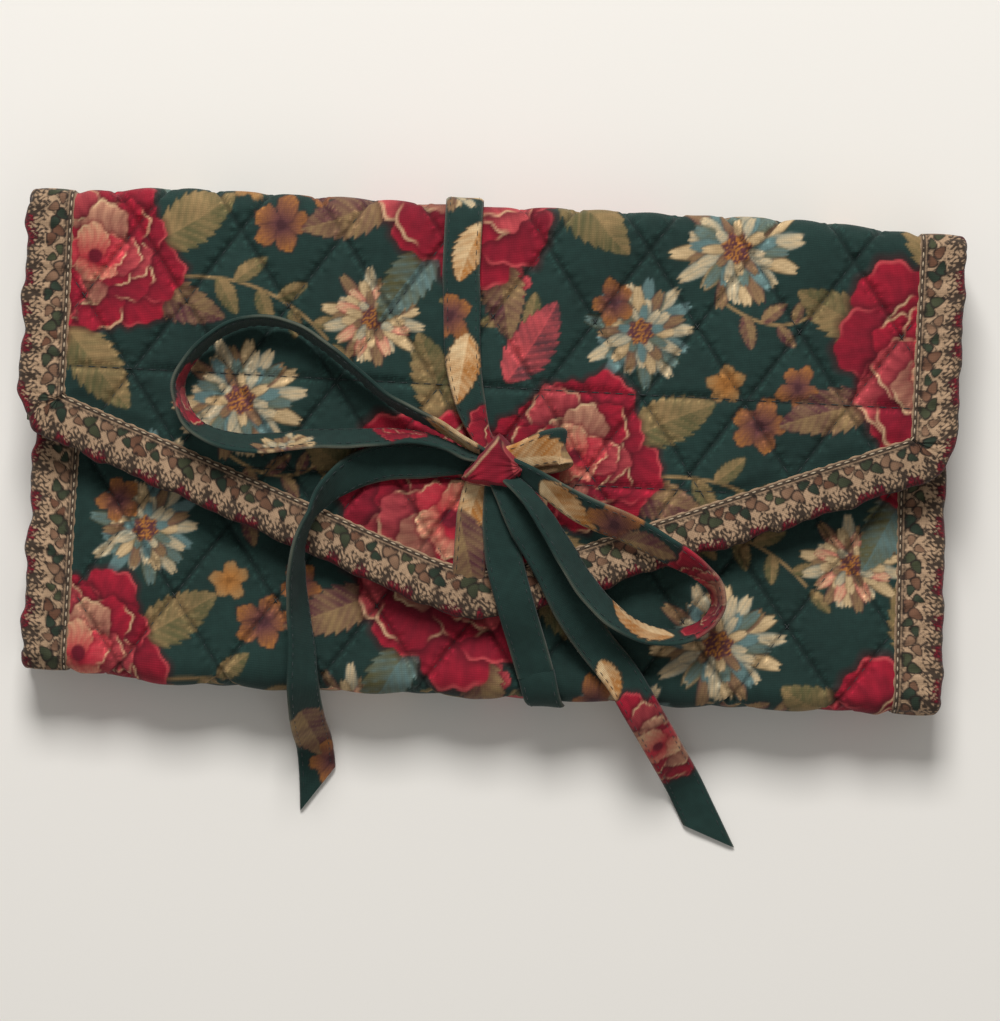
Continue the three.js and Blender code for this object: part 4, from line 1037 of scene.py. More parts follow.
def cotton(name, pitch, sheen, colour=None, relief=0.5):
    """Woven cotton: its print or plain colour, worn a little unevenly, with a fine weave and some fuzz."""
    material, tree, shader = new_finish(name, {
        "Roughness": 0.86, "Specular IOR Level": 0.25, "Sheen Weight": sheen, "Sheen Roughness": 0.45,
    })
    cloth = node_of(tree, "ShaderNodeUVMap", uv_map="Cloth").outputs["UV"]
    band = {"Scale": BAND_LENGTH / pitch, "Distortion": 1.4, "Detail": 1.0, "Detail Scale": 0.4}
    warp, weft = (
        node_of(tree, "ShaderNodeTexWave", band, {"Vector": cloth}, wave_type="BANDS", bands_direction=way)
        for way in ("X", "Y")
    )
    weave = product(tree, warp.outputs["Fac"], weft.outputs["Fac"])
    slub = clouds(tree, cloth, 420, 3)
    worn = clouds(tree, cloth, 34, 4)
    tone = product(tree, spread(tree, weave, 0.84, 1.12), spread(tree, worn, 0.86, 1.14, 0.3, 0.7))
    dye(tree, shader, product(tree, tone, spread(tree, slub, 0.88, 1.12, 0.3, 0.7)), colour)
    height = node_of(tree, "ShaderNodeMath", {1: 0.6}, {0: slub, 2: weave}, operation="MULTIPLY_ADD")
    roughen(tree, shader, height.outputs[0], relief, 0.12 * MM)
    return material


def spun_thread(name, colour):
    """Sewing thread with a fine twist."""
    material, tree, shader = new_finish(name, {"Roughness": 0.6, "Sheen Weight": 0.2})
    place = node_of(tree, "ShaderNodeTexCoord").outputs["Object"]
    dye(tree, shader, spread(tree, clouds(tree, place, 2400), 0.6, 1.3), colour)
    return material


def aged_brass(name, colour):
    """Brass with tarnish in blotches and fine scratches."""
    material, tree, shader = new_finish(name, {"Metallic": 1.0})
    place = node_of(tree, "ShaderNodeTexCoord").outputs["Object"]
    blotch = clouds(tree, place, 380, 5)
    dye(tree, shader, spread(tree, blotch, 1.0, 0.55, 0.35, 0.75), colour)
    tree.links.new(spread(tree, blotch, 0.22, 0.5), shader.inputs["Roughness"])
    roughen(tree, shader, clouds(tree, place, 1800), 0.2, 0.05 * MM)
    return material


def make_finish(name, context):
    """The material of a named finish."""
    hue = context.scene.roll_colours
    pitch = context.scene.roll_sizes.thread_pitch
    if name == "printed_cotton":
        return cotton(name, pitch, 0.08)
    if name == "plain_lining":
        return cotton(name, pitch, 0.3, hue.lining)
    if name == "zipper_tape":
        return cotton(name, 1.6 * pitch, 0.2, hue.tape, 0.8)
    if name == "aged_brass":
        return aged_brass(name, hue.brass)
    threads = {"quilting_thread": hue.thread, "chain_thread": hue.chain, "coil_nylon": hue.tape}
    return spun_thread(name, threads[name])


def finish(thing, name, context):
    """Gives a piece a finish, which is made when a piece first asks for it."""
    return add_material(thing, bpy.data.materials.get(name) or make_finish(name, context))


def hues(context):
    """The print's colours as arrays, under the names of their properties."""
    source = context.scene.roll_colours
    return SimpleNamespace(**{name: np.array(getattr(source, name)) for name in RollColours.__annotations__})


def print_on(thing, x, y, rgb, places, context):
    """Makes a piece of printed cotton: its weave along x and y, its colours and its places in metres."""
    set_weave(thing, x, y)
    set_print(thing, rgb)
    move_points(thing, places)
    finish(thing, "printed_cotton", context)


def thicken(sheet, thickness):
    """Gives a sheet the thickness of its cloth in millimetres."""
    shape = bmesh.new()
    shape.from_mesh(sheet.data)
    bmesh.ops.recalc_face_normals(shape, faces=shape.faces)
    bmesh.ops.solidify(shape, geom=shape.faces[:], thickness=thickness * MM)
    shape.to_mesh(sheet.data)
    shape.free()
    smooth(sheet)


def lay_stitch(shape, place, along, out, half, thick):
    """One stitch: a small lens of thread lying on the cloth."""
    along = along.normalized()
    across = out.cross(along).normalized()
    out = along.cross(across)
    columns = (along * half, across * thick * 0.5, out * thick * 0.5)
    turn = Matrix([[column[row] for column in columns] + [place[row]] for row in range(3)] + [[0, 0, 0, 1]])
    bmesh.ops.create_icosphere(shape, subdivisions=1, radius=1, matrix=turn)


def sew(name, starts, ends, outs, thick, thread, context):
    """An object of stitches between pairs of points."""
    shape = bmesh.new()
    for start, end, out in zip(starts, ends, outs):
        start = Vector(start)
        end = Vector(end)
        step = end - start
        lay_stitch(shape, (start + end) / 2, step, Vector(out), step.length / 2, thick)
    return finish(smooth(object_from(name, shape)), thread, context)


def quilting_stitches(name, s_low, s_high, context):
    """Stitches along the diamond seams, and along the zipper seams where they cross the piece."""
    size = context.scene.roll_sizes
    pitch = size.stitch_pitch / MM
    slope = math.hypot(DIAMOND_WIDTH / DIAMOND_HEIGHT, 1)
    rows = np.arange(*np.interp((s_low, s_high), LATTICE_S, LATTICE_L), pitch / slope)
    lines = []
    widest = FLAP_HALF / DIAMOND_WIDTH
    for sign in (1, -1):
        tilt = sign * rows / DIAMOND_HEIGHT
        step = np.array((-sign * DIAMOND_WIDTH / DIAMOND_HEIGHT, 1)) / slope
        for number in range(math.floor((tilt - widest).min()), math.ceil((tilt + widest).max()) + 1):
            lines.append((DIAMOND_WIDTH * (number - tilt), np.interp(rows, LATTICE_L, LATTICE_S), step))
    if s_low < ZIP_SEAMS[1]:
        across = np.arange(-FLAP_HALF, FLAP_HALF, pitch)
        for seam in ZIP_SEAMS:
            lines.append((across, np.full_like(across, seam), np.array((1.0, 0.0))))
    starts, ends, outs = [], [], []
    half = 0.36 * pitch
    for x, s, step in lines:
        inside = hem_distance(x, s) > 0.8
        x = x[inside]
        s = s[inside]
        for points, way in ((starts, -half), (ends, half)):
            place = (x + way * step[0], s + way * step[1])
            points.extend(wrap(*place, quilt_height(*place) + 0.1))
        outs.extend(wrap(x, s, np.ones_like(x)) - wrap(x, s, np.zeros_like(x)))
    return sew(name, starts, ends, outs, size.thread, "quilting_thread", context)


def quilted_cover(name, s_low, s_high, fold, spacing, nodes, context):
    """A printed, padded stretch of the sheet, and its stitches."""
    half = FLAP_HALF - BINDING_WIDTH + TUCK
    columns = round(2 * half / spacing)
    shape = grid_shape(columns, round((s_high - s_low) / spacing), (-half, s_low), (half, s_high))
    if fold == "flap":
        trim_point(shape, BINDING_WIDTH - TUCK)
    cover = smooth(object_from(name, shape))
    flat = points_of(cover)
    s = flat[:, 1]
    x = flat[:, 0] * (half_width(s) - BINDING_WIDTH + TUCK) / half
    seam = seam_distance(x, s)
    # Painted shade: the print is darkened in the grooves along the quilting and zipper seams.
    painted_seam_shade = 1 - 0.45 * bell(seam, 0.5)
    # Painted highlight: specks beside the seams are lightened where the puckers would catch the light.
    painted_highlight = 1 + 0.8 * soft(flecks(0.7 * x, 0.7 * s) - 0.3, 0.4) * bell(seam - 1.0, 0.5)
    rgb = print_floral(x, s, hues(context), PRINT_SHIFT) * (painted_seam_shade * painted_highlight)[:, None]
    print_on(cover, x, s, rgb, wrap(x, s, quilt_height(x, s)), context)
    bend(cover, fold)
    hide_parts(*nodes)
    stitches = quilting_stitches(f"{name}_stitches", s_low, s_high, context)
    bend(stitches, fold)


def binding_section(rows):
    """Places across a binding: in from its edge, out from the seams, and along its cloth from the edge."""
    middle = (BINDING_TOP + BINDING_UNDER) / 2
    tall = (BINDING_TOP - BINDING_UNDER) / 2
    depth = np.linspace(BINDING_WIDTH, BINDING_ROUND, rows)
    lip = ease((BINDING_WIDTH - depth) / 0.7)
    crown = BINDING_TOP - 0.75 * (1 - lip) + 0.3 * np.sin(math.pi * (BINDING_WIDTH - depth) / BINDING_WIDTH)
    turn = np.linspace(math.pi / 2, -math.pi / 2, 12)[1:]
    edge_depth = BINDING_ROUND - BINDING_ROUND * np.cos(turn)
    edge_height = middle + tall * np.sin(turn)
    edge_height += (crown[-1] - BINDING_TOP) * np.clip(np.sin(turn), 0, 1)
    back = np.linspace(BINDING_ROUND, BINDING_WIDTH, 10)[1:]
    ins = np.concatenate((depth, edge_depth, back))
    outs = np.concatenate((crown, edge_height, np.full(len(back), BINDING_UNDER)))
    edge_cloth = np.linspace(BINDING_ROUND, -BINDING_ROUND, len(turn) + 1)[1:]
    cloth = np.concatenate((depth, edge_cloth, -back))
    arc = BINDING_WIDTH - run_along(np.stack((ins, outs), axis=1))
    return ins, outs, cloth, arc


def stretch(start, end, steps):
    """Points of a straight run, without its end."""
    share = np.linspace(0, 1, steps + 1)[:-1, None]
    return np.array(start) * (1 - share) + np.array(end) * share


def rounded(before, corner, after, bow):
    """Points of a corner that is rounded off by a length on each side."""
    corner = np.array(corner)
    start, end = (corner + bow * unit(np.array(other) - corner) for other in (before, after))
    return curve(start, corner, end, CORNER_STEPS + 1)


def mirrored(*runs):
    """A line of several runs to the middle of the sheet, and its mirror image."""
    line = np.concatenate(runs)
    return np.concatenate((line, line[::-1][1:] * (-1, 1)))


def flap_edge(inset, side_steps, slant_steps):
    """Flat outline of the flap's bound edge at an inset, from mid-fold to mid-fold."""
    half = FLAP_HALF - inset
    start = (-half, TOP_MID)
    tip = FLAP_TIP + inset / math.cos(POINT_TILT)
    corner = tip + half * math.tan(POINT_TILT)
    side = rounded(start, (-half, corner), (0.0, tip), max(FLAP_CORNER - inset, 0.5))
    point = rounded((-half, corner), (0.0, tip), (half, corner), POINT_ROUND)
    return mirrored(
        stretch(start, side[0], side_steps), side[:-1],
        stretch(side[-1], point[0], slant_steps), point[: len(point) // 2 + 1],
    )


def leaf_edge(inset, side_steps, top_steps):
    """Flat outline of the front leaf's bound edge at an inset, from mid-fold to mid-fold."""
    half = BODY_HALF - inset
    start = (-half, FRONT_MID)
    middle = (0.0, LEAF_END - inset)
    corner = rounded(start, (-half, middle[1]), middle, max(LEAF_CORNER - inset, 0.5))
    return mirrored(
        stretch(start, corner[0], side_steps), corner[:-1],
        stretch(corner[-1], middle, top_steps), np.array((middle,)),
    )


def flap_run(x, s):
    """How far along the flap's binding a flat place is, mitred at its corners and point."""
    inside = FLAP_HALF - np.abs(x)
    rise = math.cos(POINT_TILT)
    fall = math.sin(POINT_TILT)
    corner = FLAP_TIP + FLAP_HALF * math.tan(POINT_TILT)
    on_side = inside < (s - FLAP_TIP) * rise - np.abs(x) * fall
    run = np.where(on_side, TOP_MID - s, TOP_MID - corner + inside * rise - (s - corner) * fall)
    return np.where(x < 0, run, 2 * (TOP_MID - corner + FLAP_HALF / rise) - run)


def leaf_run(x, s):
    """How far along the front leaf's binding a flat place is, mitred at its corners."""
    inside = BODY_HALF - np.abs(x)
    side = LEAF_END - FRONT_MID
    run = np.where(inside < LEAF_END - s, s - FRONT_MID, side + inside)
    return np.where(x < 0, run, 2 * (side + BODY_HALF) - run)


def bind(name, edge_at, fold, nodes, context, run=None):
    """A binding folded over an edge of the sheet.

    edge_at gives the edge's flat points at an inset; run gives how far along the binding a flat place is.
    """
    step = context.scene.roll_sizes.binding_spacing / MM
    ins, outs, cloth, arc = binding_section(round(10 / step))
    edge = edge_at(0.0)
    u = run_along(edge)
    lines = np.stack([edge_at(inset) for inset in ins])
    wander = u + 2.5 * np.sin(u / 14)
    ripple = 0.5 * np.sin(wander / 2.7) + 0.3 * np.sin(wander / 1.55 + 1) + 0.14 * np.sin(wander / 0.83)
    ripple *= 0.7 + 0.3 * np.sin(u / 31)
    loose = np.clip(1 - ins / 6.0, 0, 1)[:, None]
    rippled = lines + (loose * (-0.25 - ripple))[:, :, None] * unit(lines[0] - edge)
    gather = 0.14 * np.sin(2 * math.pi * u / 3.4 + np.sin(u / 5)) + 0.1 * np.sin(2 * math.pi * u / 5.3)
    heights = outs[:, None] + (outs[:, None] > 0) * gather * ease(ins / 4)[:, None]

    strip, column, row = index_grid(name, len(u) - 1, len(ins) - 1)
    smooth(strip)
    along = run(*lines[row, column].T) if run else u[column]
    rgb = print_binding(along, cloth[row], arc[row], hues(context))
    places = wrap(*rippled[row, column].T, heights[row, column])
    print_on(strip, along, arc[row], rgb, places, context)
    bend(strip, fold)
    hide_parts(*nodes)
    chain_along(f"{name}_topstitch", edge_at(BINDING_WIDTH - CHAIN_INSET), fold, context)


def chain_along(name, line, fold, context):
    """Topstitching of pale thread along a flat line of the sheet."""
    runs = run_along(line)
    places = np.arange(1.0, runs[-1] - 1.0, CHAIN_PITCH)
    level = BINDING_TOP + 0.12

    def sewn(u, height=level):
        x, s = (np.interp(u, runs, line[:, axis]) for axis in (0, 1))
        return wrap(x, s, np.full(len(u), height))

    starts = sewn(places - CHAIN_HALF)
    ends = sewn(places + CHAIN_HALF)
    outs = sewn(places, level + 1) - sewn(places)
    chain = sew(name, starts, ends, outs, CHAIN_THICK * MM, "chain_thread", context)
    bend(chain, fold)


def catmull(points, count):
    """Places and directions along a smooth line through points, equal steps between each two."""
    points = np.asarray(points, float)
    padded = np.concatenate((2 * points[:1] - points[1:2], points, 2 * points[-1:] - points[-2:-1]))
    share = np.linspace(0, len(points) - 1, count)
    index = np.minimum(share.astype(int), len(points) - 2)
    t = (share - index)[:, None]
    p0, p1, p2, p3 = (padded[index + k] for k in range(4))
    d0, d1, d2 = (np.sqrt(np.linalg.norm(b - a, axis=1))[:, None] for a, b in ((p0, p1), (p1, p2), (p2, p3)))
    m1 = ((p1 - p0) / d0 - (p2 - p0) / (d0 + d1) + (p2 - p1) / d1) * d1
    m2 = ((p2 - p1) / d1 - (p3 - p1) / (d1 + d2) + (p3 - p2) / d2) * d1
    c2 = -3 * p1 + 3 * p2 - 2 * m1 - m2
    c3 = 2 * p1 - 2 * p2 + m1 + m2
    places = p1 + m1 * t + c2 * t ** 2 + c3 * t ** 3
    ahead = m1 + 2 * c2 * t + 3 * c3 * t ** 2
    return places, unit(ahead), share


def strap_frame(route, count, folded=False):
    """Centre line, direction across, direction out and width along a strap's route."""
    route = np.asarray(route, float)
    centre, ahead, share = catmull(route[:, :3], count)
    stations = np.arange(len(route))
    lean = np.radians(np.interp(share, stations, route[:, 3]))[:, None]
    width = np.interp(share, stations, route[:, 4])
    side = np.cross(ahead, (0, 0, 1))
    if folded:
        side = side[:1] - np.sum(side[:1] * ahead, axis=1)[:, None] * ahead
    side = unit(side)
    across = side * np.cos(lean) + np.cross(side, ahead) * np.sin(lean)
    return centre + (0, 0, FLAP_CROWN), across, np.cross(across, ahead), width


def tail_skew(u, end, slant):
    """How far the slanted end of a strap is drawn along it at each edge."""
    return slant / 2 * np.clip(1 - (end - u) / TAIL_CUT, 0, 1)


def ribbon(name, centre, across, out, width, motifs, context, slant=0.0):
    """A flat sewn strap along a centre line in millimetres, with its topstitching as a second piece."""
    u = run_along(centre)
    ahead = unit(np.gradient(centre, axis=0))
    strap, turn, row = index_grid(name, 2 * STRAP_COLUMNS, len(centre) - 1)
    turn = turn % (2 * STRAP_COLUMNS)
    upper = turn <= STRAP_COLUMNS
    share = np.where(upper, 2 * turn / STRAP_COLUMNS - 1, 3 - 2 * turn / STRAP_COLUMNS)
    top = np.where(upper, 1.0, -1.0)
    place = u[row]
    swell = np.sqrt(np.clip(1 - share ** 6, 0, 1)) * (1 - 0.12 * np.cos(3 * share))
    crease = 0.12 * np.sin(place / 2.3 + 2.1 * share) * np.sin(place / 5.1 + u[-1])
    height = 0.5 * TIE_CLOTH * swell * top + crease
    skew = tail_skew(place, u[-1], slant) * share
    v = share * width[row] / 2
    points = centre[row] + across[row] * v[:, None] + out[row] * height[:, None] + ahead[row] * skew[:, None]
    hue = hues(context)
    rgb = print_strap(place + skew, v, hue, motifs)
    # Painted highlight, partly also wear: the strap's folded edges are lightened in patches towards a pale
    # tint.
    painted_highlight = ease(0.55 + 0.6 * np.sin(place / 6.7 + 3 * top + u[-1])) * soft(np.abs(share) - 0.93, 0.1)
    worn = 0.3 * hue.cream + 0.5 * hue.blue
    rgb += (worn - rgb) * (0.4 * painted_highlight)[:, None]
    print_on(strap, place + skew, v, rgb, points * MM, context)
    close_ribbon(strap)

    def at(vectors, spot):
        return np.stack([np.interp(spot, u, vectors[:, axis]) for axis in range(3)], axis=1)

    def sewn(spot, side):
        reach = side / 2 * np.interp(spot, u, width)
        drawn = side * tail_skew(spot, u[-1], slant)
        line = at(centre, spot) + at(across, spot) * reach[:, None] + at(ahead, spot) * drawn[:, None]
        return (line + at(out, spot) * 0.56 * TIE_CLOTH) * MM

    seam = np.arange(2, u[-1] - 2, STRAP_STITCH)
    starts, ends, outs = [], [], []
    for side in (-STRAP_SEAM, STRAP_SEAM):
        starts.extend(sewn(seam - STRAP_STITCH_HALF, side))
        ends.extend(sewn(seam + STRAP_STITCH_HALF, side))
        outs.extend(at(out, seam))
    thick = STRAP_STITCH_THICK * MM
    stitches = sew(f"{name}_topstitch", starts, ends, outs, thick, "quilting_thread", context)
    return strap, stitches


def close_ribbon(strap):
    """Joins the long seam of a strap and closes its two ends."""
    shape = bmesh.new()
    shape.from_mesh(strap.data)
    bmesh.ops.remove_doubles(shape, verts=shape.verts, dist=1e-6)
    open_edges = [edge for edge in shape.edges if edge.is_boundary]
    bmesh.ops.holes_fill(shape, edges=open_edges, sides=0)
    for edge in open_edges:
        edge.smooth = False
    bmesh.ops.recalc_face_normals(shape, faces=shape.faces)
    shape.to_mesh(strap.data)
    shape.free()
    smooth(strap)


def ride_flap(*things):
    """Attaches pieces of the bow to the flap, each with a mesh of its own."""
    for thing in things:
        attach(thing, "flap")
        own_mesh(thing)


class ROLL_OT_stage(bpy.types.Operator):
    """Set the camera over the roll, the floor and the soft light"""

    bl_idname = "roll.stage"
    bl_label = "Stage"

    def execute(self, context):
        scene = context.scene
        camera = bpy.data.cameras.new("camera")
        camera.sensor_width = SENSOR
        camera.lens = SENSOR * VIEW_REACH / VIEW_SPAN
        camera.clip_start = 0.01
        camera.clip_end = 20
        view = new_object("camera", camera)
        centre = Matrix.Rotation(VIEW_TURN, 3, "Z") @ Vector(VIEW_CENTRE)
        view.location = (centre + Vector((0, 0, VIEW_REACH))) * MM
        view.rotation_euler = (0, 0, VIEW_TURN)
        scene.camera = view
        scene.view_settings.view_transform = "Standard"

        shape = bmesh.new()
        bmesh.ops.create_grid(shape, x_segments=8, y_segments=8, size=3)
        floor = object_from("floor", shape)
        pale, _, _ = new_finish("pale_floor", {
            "Base Color": (*scene.roll_colours.floor, 1), "Roughness": 0.7, "Specular IOR Level": 0.2,
        })
        add_material(floor, pale)

        scene.world = bpy.data.worlds.new("room")
        scene.world.use_nodes = True
        sky = scene.world.node_tree.nodes["Background"]
        sky.inputs["Color"].default_value = SKY
        sky.inputs["Strength"].default_value = SKY_STRENGTH
        for name, place, size, power in LAMPS:
            lamp = bpy.data.lights.new(name, "AREA")
            lamp.size = size
            lamp.energy = power
            light = new_object(name, lamp)
            light.location = place
            light.rotation_euler = (-Vector(place)).to_track_quat("-Z", "Y").to_euler()
        return {"FINISHED"}


class ROLL_OT_bow(bpy.types.Operator):
    """Lay the two loops and the two tails of the bow"""

    bl_idname = "roll.bow"
    bl_label = "Bow"

    def execute(self, context):
        for node, route, count, end, slant, motifs in (
            ("bow_loop_left", LEFT_LOOP, 420, "object", 0.0, LEFT_LOOP_PRINT),
            ("bow_loop_right", RIGHT_LOOP, 360, "object", 0.0, RIGHT_LOOP_PRINT),
            ("tie_tail_left", LEFT_TAIL, 300, "bare", TAIL_SLANT, LEFT_TAIL_PRINT),
            ("tie_tail_right", RIGHT_TAIL, 280, "bare", -TAIL_SLANT, RIGHT_TAIL_PRINT),
        ):
            centre, across, out, width = strap_frame(route, count)
            strap, stitches = ribbon(f"{node}_strap", centre, across, out, width, motifs, context, slant)
            ride_flap(strap, stitches)
            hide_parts(node)
        return {"FINISHED"}


class ROLL_OT_straps(bpy.types.Operator):
    """Run the tie round the roll and up to the knot"""

    bl_idname = "roll.straps"
    bl_label = "Straps"

    def execute(self, context):
        for name, node, route, motifs in (
            ("tie_neck_strap", "tie_neck", NECK_ROUTE, NECK_PRINT),
            ("tie_lower_strap", "tie_lower", LOWER_ROUTE, ()),
            ("tie_stub_strap", "tie_fold", STUB_ROUTE, STUB_PRINT),
        ):
            strap, stitches = ribbon(
                name, *strap_frame(route, STRAP_STEPS, folded=route is STUB_ROUTE), motifs, context
            )
            ride_flap(strap, stitches)
            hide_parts(node)
        self.lay_over_top(context)
        for name, first, last, fold, node in (
            ("tie_back_top_strap", TOP_MID, BACK_MID, "top", "tie_back"),
            ("tie_back_bottom_strap", BACK_MID, FRONT_MID, "bottom", "tie_back"),
            ("tie_bottom_strap", FRONT_MID, LEAF_START, "front", "tie_bottom"),
        ):
            self.lay_round(name, first, last, fold, node, context)
        return {"FINISHED"}

    def lay_over_top(self, context):
        """The stretch over the top fold, which goes on along the flap to the knot."""
        s = np.linspace(TOP_MID, TIE_JOIN, FOLD_STEPS)
        level = np.zeros(FOLD_STEPS)
        over_fold = (
            self.around(s, level + TIE_TOP_X, TIE_ON_TOP),
            np.tile((-1.0, 0.0, 0.0), (FOLD_STEPS, 1)),
            self.around(s, level, 1.0) - self.around(s, level, 0.0),
            np.full(FOLD_STEPS, TIE_WIDTH),
        )
        on_flap = strap_frame(UPPER_ROUTE, STRAP_STEPS)
        joined = [np.concatenate(both) for both in zip(over_fold, on_flap)]
        pair = ribbon("tie_upper_strap", *joined, UPPER_PRINT, context)
        for thing in pair:
            bend(thing, "flap")
        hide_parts("tie_upper", "tie_top")

    def lay_round(self, name, first, last, fold, node, context):
        """A stretch round the back, slanting from where the tie leaves the top fold to the bottom fold."""
        s = np.linspace(first, last, BACK_STEPS)
        slope = (TIE_TOP_X - TIE_BOTTOM_X) / (2 * BEND_Y)
        flat_y = np.clip(BEND_Y - (s - BACK_START), -BEND_Y, BEND_Y)
        x = (TIE_TOP_X + TIE_BOTTOM_X) / 2 + slope * flat_y
        x += np.interp(s, (BACK_END, FRONT_MID, LEAF_BEND, LEAF_START), TIE_DRIFT)
        under = fold_share(s, TOP_MID, BACK_START, BACK_END, FRONT_MID)
        level = TIE_ROUND + (TIE_UNDER - TIE_ROUND) * under
        centre = self.around(s, x, level)
        facing = self.around(s, x, level + 1) - centre
        sideways = np.cross(unit(np.gradient(centre, axis=0)), facing)
        pair = ribbon(name, centre, sideways, facing, np.full(BACK_STEPS, TIE_WIDTH), (), context)
        for thing in pair:
            bend(thing, fold)
        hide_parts(node)

    def around(self, s, x, level):
        """Places in millimetres on the folded sheet, at a level over its seams."""
        return wrap(x, s, np.broadcast_to(np.asarray(level, float), s.shape)) / MM


class ROLL_OT_knot(bpy.types.Operator):
    """Draw the knot of the bow"""

    bl_idname = "roll.knot"
    bl_label = "Knot"

    def execute(self, context):
        shape = bmesh.new()
        bmesh.ops.create_uvsphere(shape, u_segments=KNOT_GRID[0], v_segments=KNOT_GRID[1], radius=1)
        knot = smooth(object_from("tie_knot_wrap", shape))
        ball = points_of(knot)
        place = ball * KNOT_SIZE
        for facing, depth in KNOT_FOLDS:
            facing = unit(np.array(facing))
            beyond = np.maximum(place @ facing - depth, 0)
            place = place - KNOT_FLATTENING * beyond[:, None] * facing
        pleat = np.zeros(len(place))
        for gather in KNOT_GATHERS:
            away = place[:, :2] - gather
            fan = np.arctan2(away[:, 1], away[:, 0])
            fade = np.exp(-np.hypot(*away.T) / KNOT_PLEAT_REACH)
            pleat += KNOT_PLEAT_DEPTH * np.sin(KNOT_PLEATS * fan + gather[0]) * fade
        shaped = place * (1 + pleat)[:, None] + KNOT_CENTRE + (0, 0, FLAP_CROWN)
        round_it = np.arctan2(ball[:, 2], ball[:, 1])
        hue = hues(context)
        rgb = print_strap(ball[:, 0] * 6, round_it * 4, hue, KNOT_PRINT)
        facing, depth = KNOT_FOLDS[0]
        inside = depth - place @ unit(np.array(facing))
        selvedge = 0.6 * soft(0.3 - np.abs(inside - 0.25), 0.3) * soft(place[:, 2] - 1.5, 1.5)
        rgb += (0.8 * hue.cream - rgb) * selvedge[:, None]
        print_on(knot, ball[:, 0] * 7, round_it * 5, rgb, shaped * MM, context)
        ride_flap(knot)
        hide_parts("tie_knot")
        return {"FINISHED"}


class ROLL_OT_covers(bpy.types.Operator):
    """Sew the quilted covers of flap, back and front leaf"""

    bl_idname = "roll.covers"
    bl_label = "Quilted covers"

    def execute(self, context):
        fine = context.scene.roll_sizes.cloth_spacing / MM
        flap_low = FLAP_TIP + (BINDING_WIDTH - TUCK) / math.cos(POINT_TILT)
        leaf_high = LEAF_END - BINDING_WIDTH + TUCK
        flap_nodes = ("flap_cover", "flap_batting", "top_fold_cover", "top_fold_batting")
        leaf_nodes = ("front_cover", "front_batting", "bottom_fold_cover", "bottom_fold_batting")
        for name, low, high, fold, spacing, nodes in (
            ("flap_quilt", flap_low, TOP_MID, "flap", fine, flap_nodes),
            ("front_quilt", FRONT_MID, leaf_high, "front", fine, leaf_nodes),
            ("back_quilt_top", TOP_MID, BACK_MID, "top", BACK_SPACING, ("back_cover", "back_batting")),
            ("back_quilt_bottom", BACK_MID, FRONT_MID, "bottom", BACK_SPACING, ("back_cover",)),
        ):
            quilted_cover(name, low, high, fold, spacing, nodes, context)
        return {"FINISHED"}


class ROLL_OT_bindings(bpy.types.Operator):
    """Bind the edges of the sheet"""

    bl_idname = "roll.bindings"
    bl_label = "Bindings"

    def execute(self, context):
        step = context.scene.roll_sizes.binding_spacing / MM
        side_steps = round((TOP_MID - BINDING_SIDE_END) / step)
        slant_steps = round(BINDING_SLANT / step)
        leaf_steps = round((LEAF_END - FRONT_MID) / step)
        top_steps = round(BODY_HALF / (2 * step))

        def flap_at(inset):
            return flap_edge(inset, side_steps, slant_steps)

        def leaf_at(inset):
            return leaf_edge(inset, leaf_steps, top_steps)

        for node, edge_at, fold, other, run in (
            ("flap_binding", flap_at, "flap", "top_fold_binding", flap_run),
            ("front_binding", leaf_at, "front", "bottom_fold_binding", leaf_run),
        ):
            bind(f"{node}_strip", edge_at, fold, (node, f"{other}_left", f"{other}_right"), context, run)
        for hand, label in ((-1, "left"), (1, "right")):
            for fold, low, high in (("top", TOP_MID, BACK_MID), ("bottom", BACK_MID, FRONT_MID)):
                stations = np.linspace(low, high, round((high - low) / (1.5 * step)))

                def side_at(inset, s=stations, way=hand):
                    return np.stack((way * (half_width(s) - inset), s), axis=1)

                bind(f"back_binding_{label}_{fold}", side_at, fold, (f"back_binding_{label}",), context)
        return {"FINISHED"}


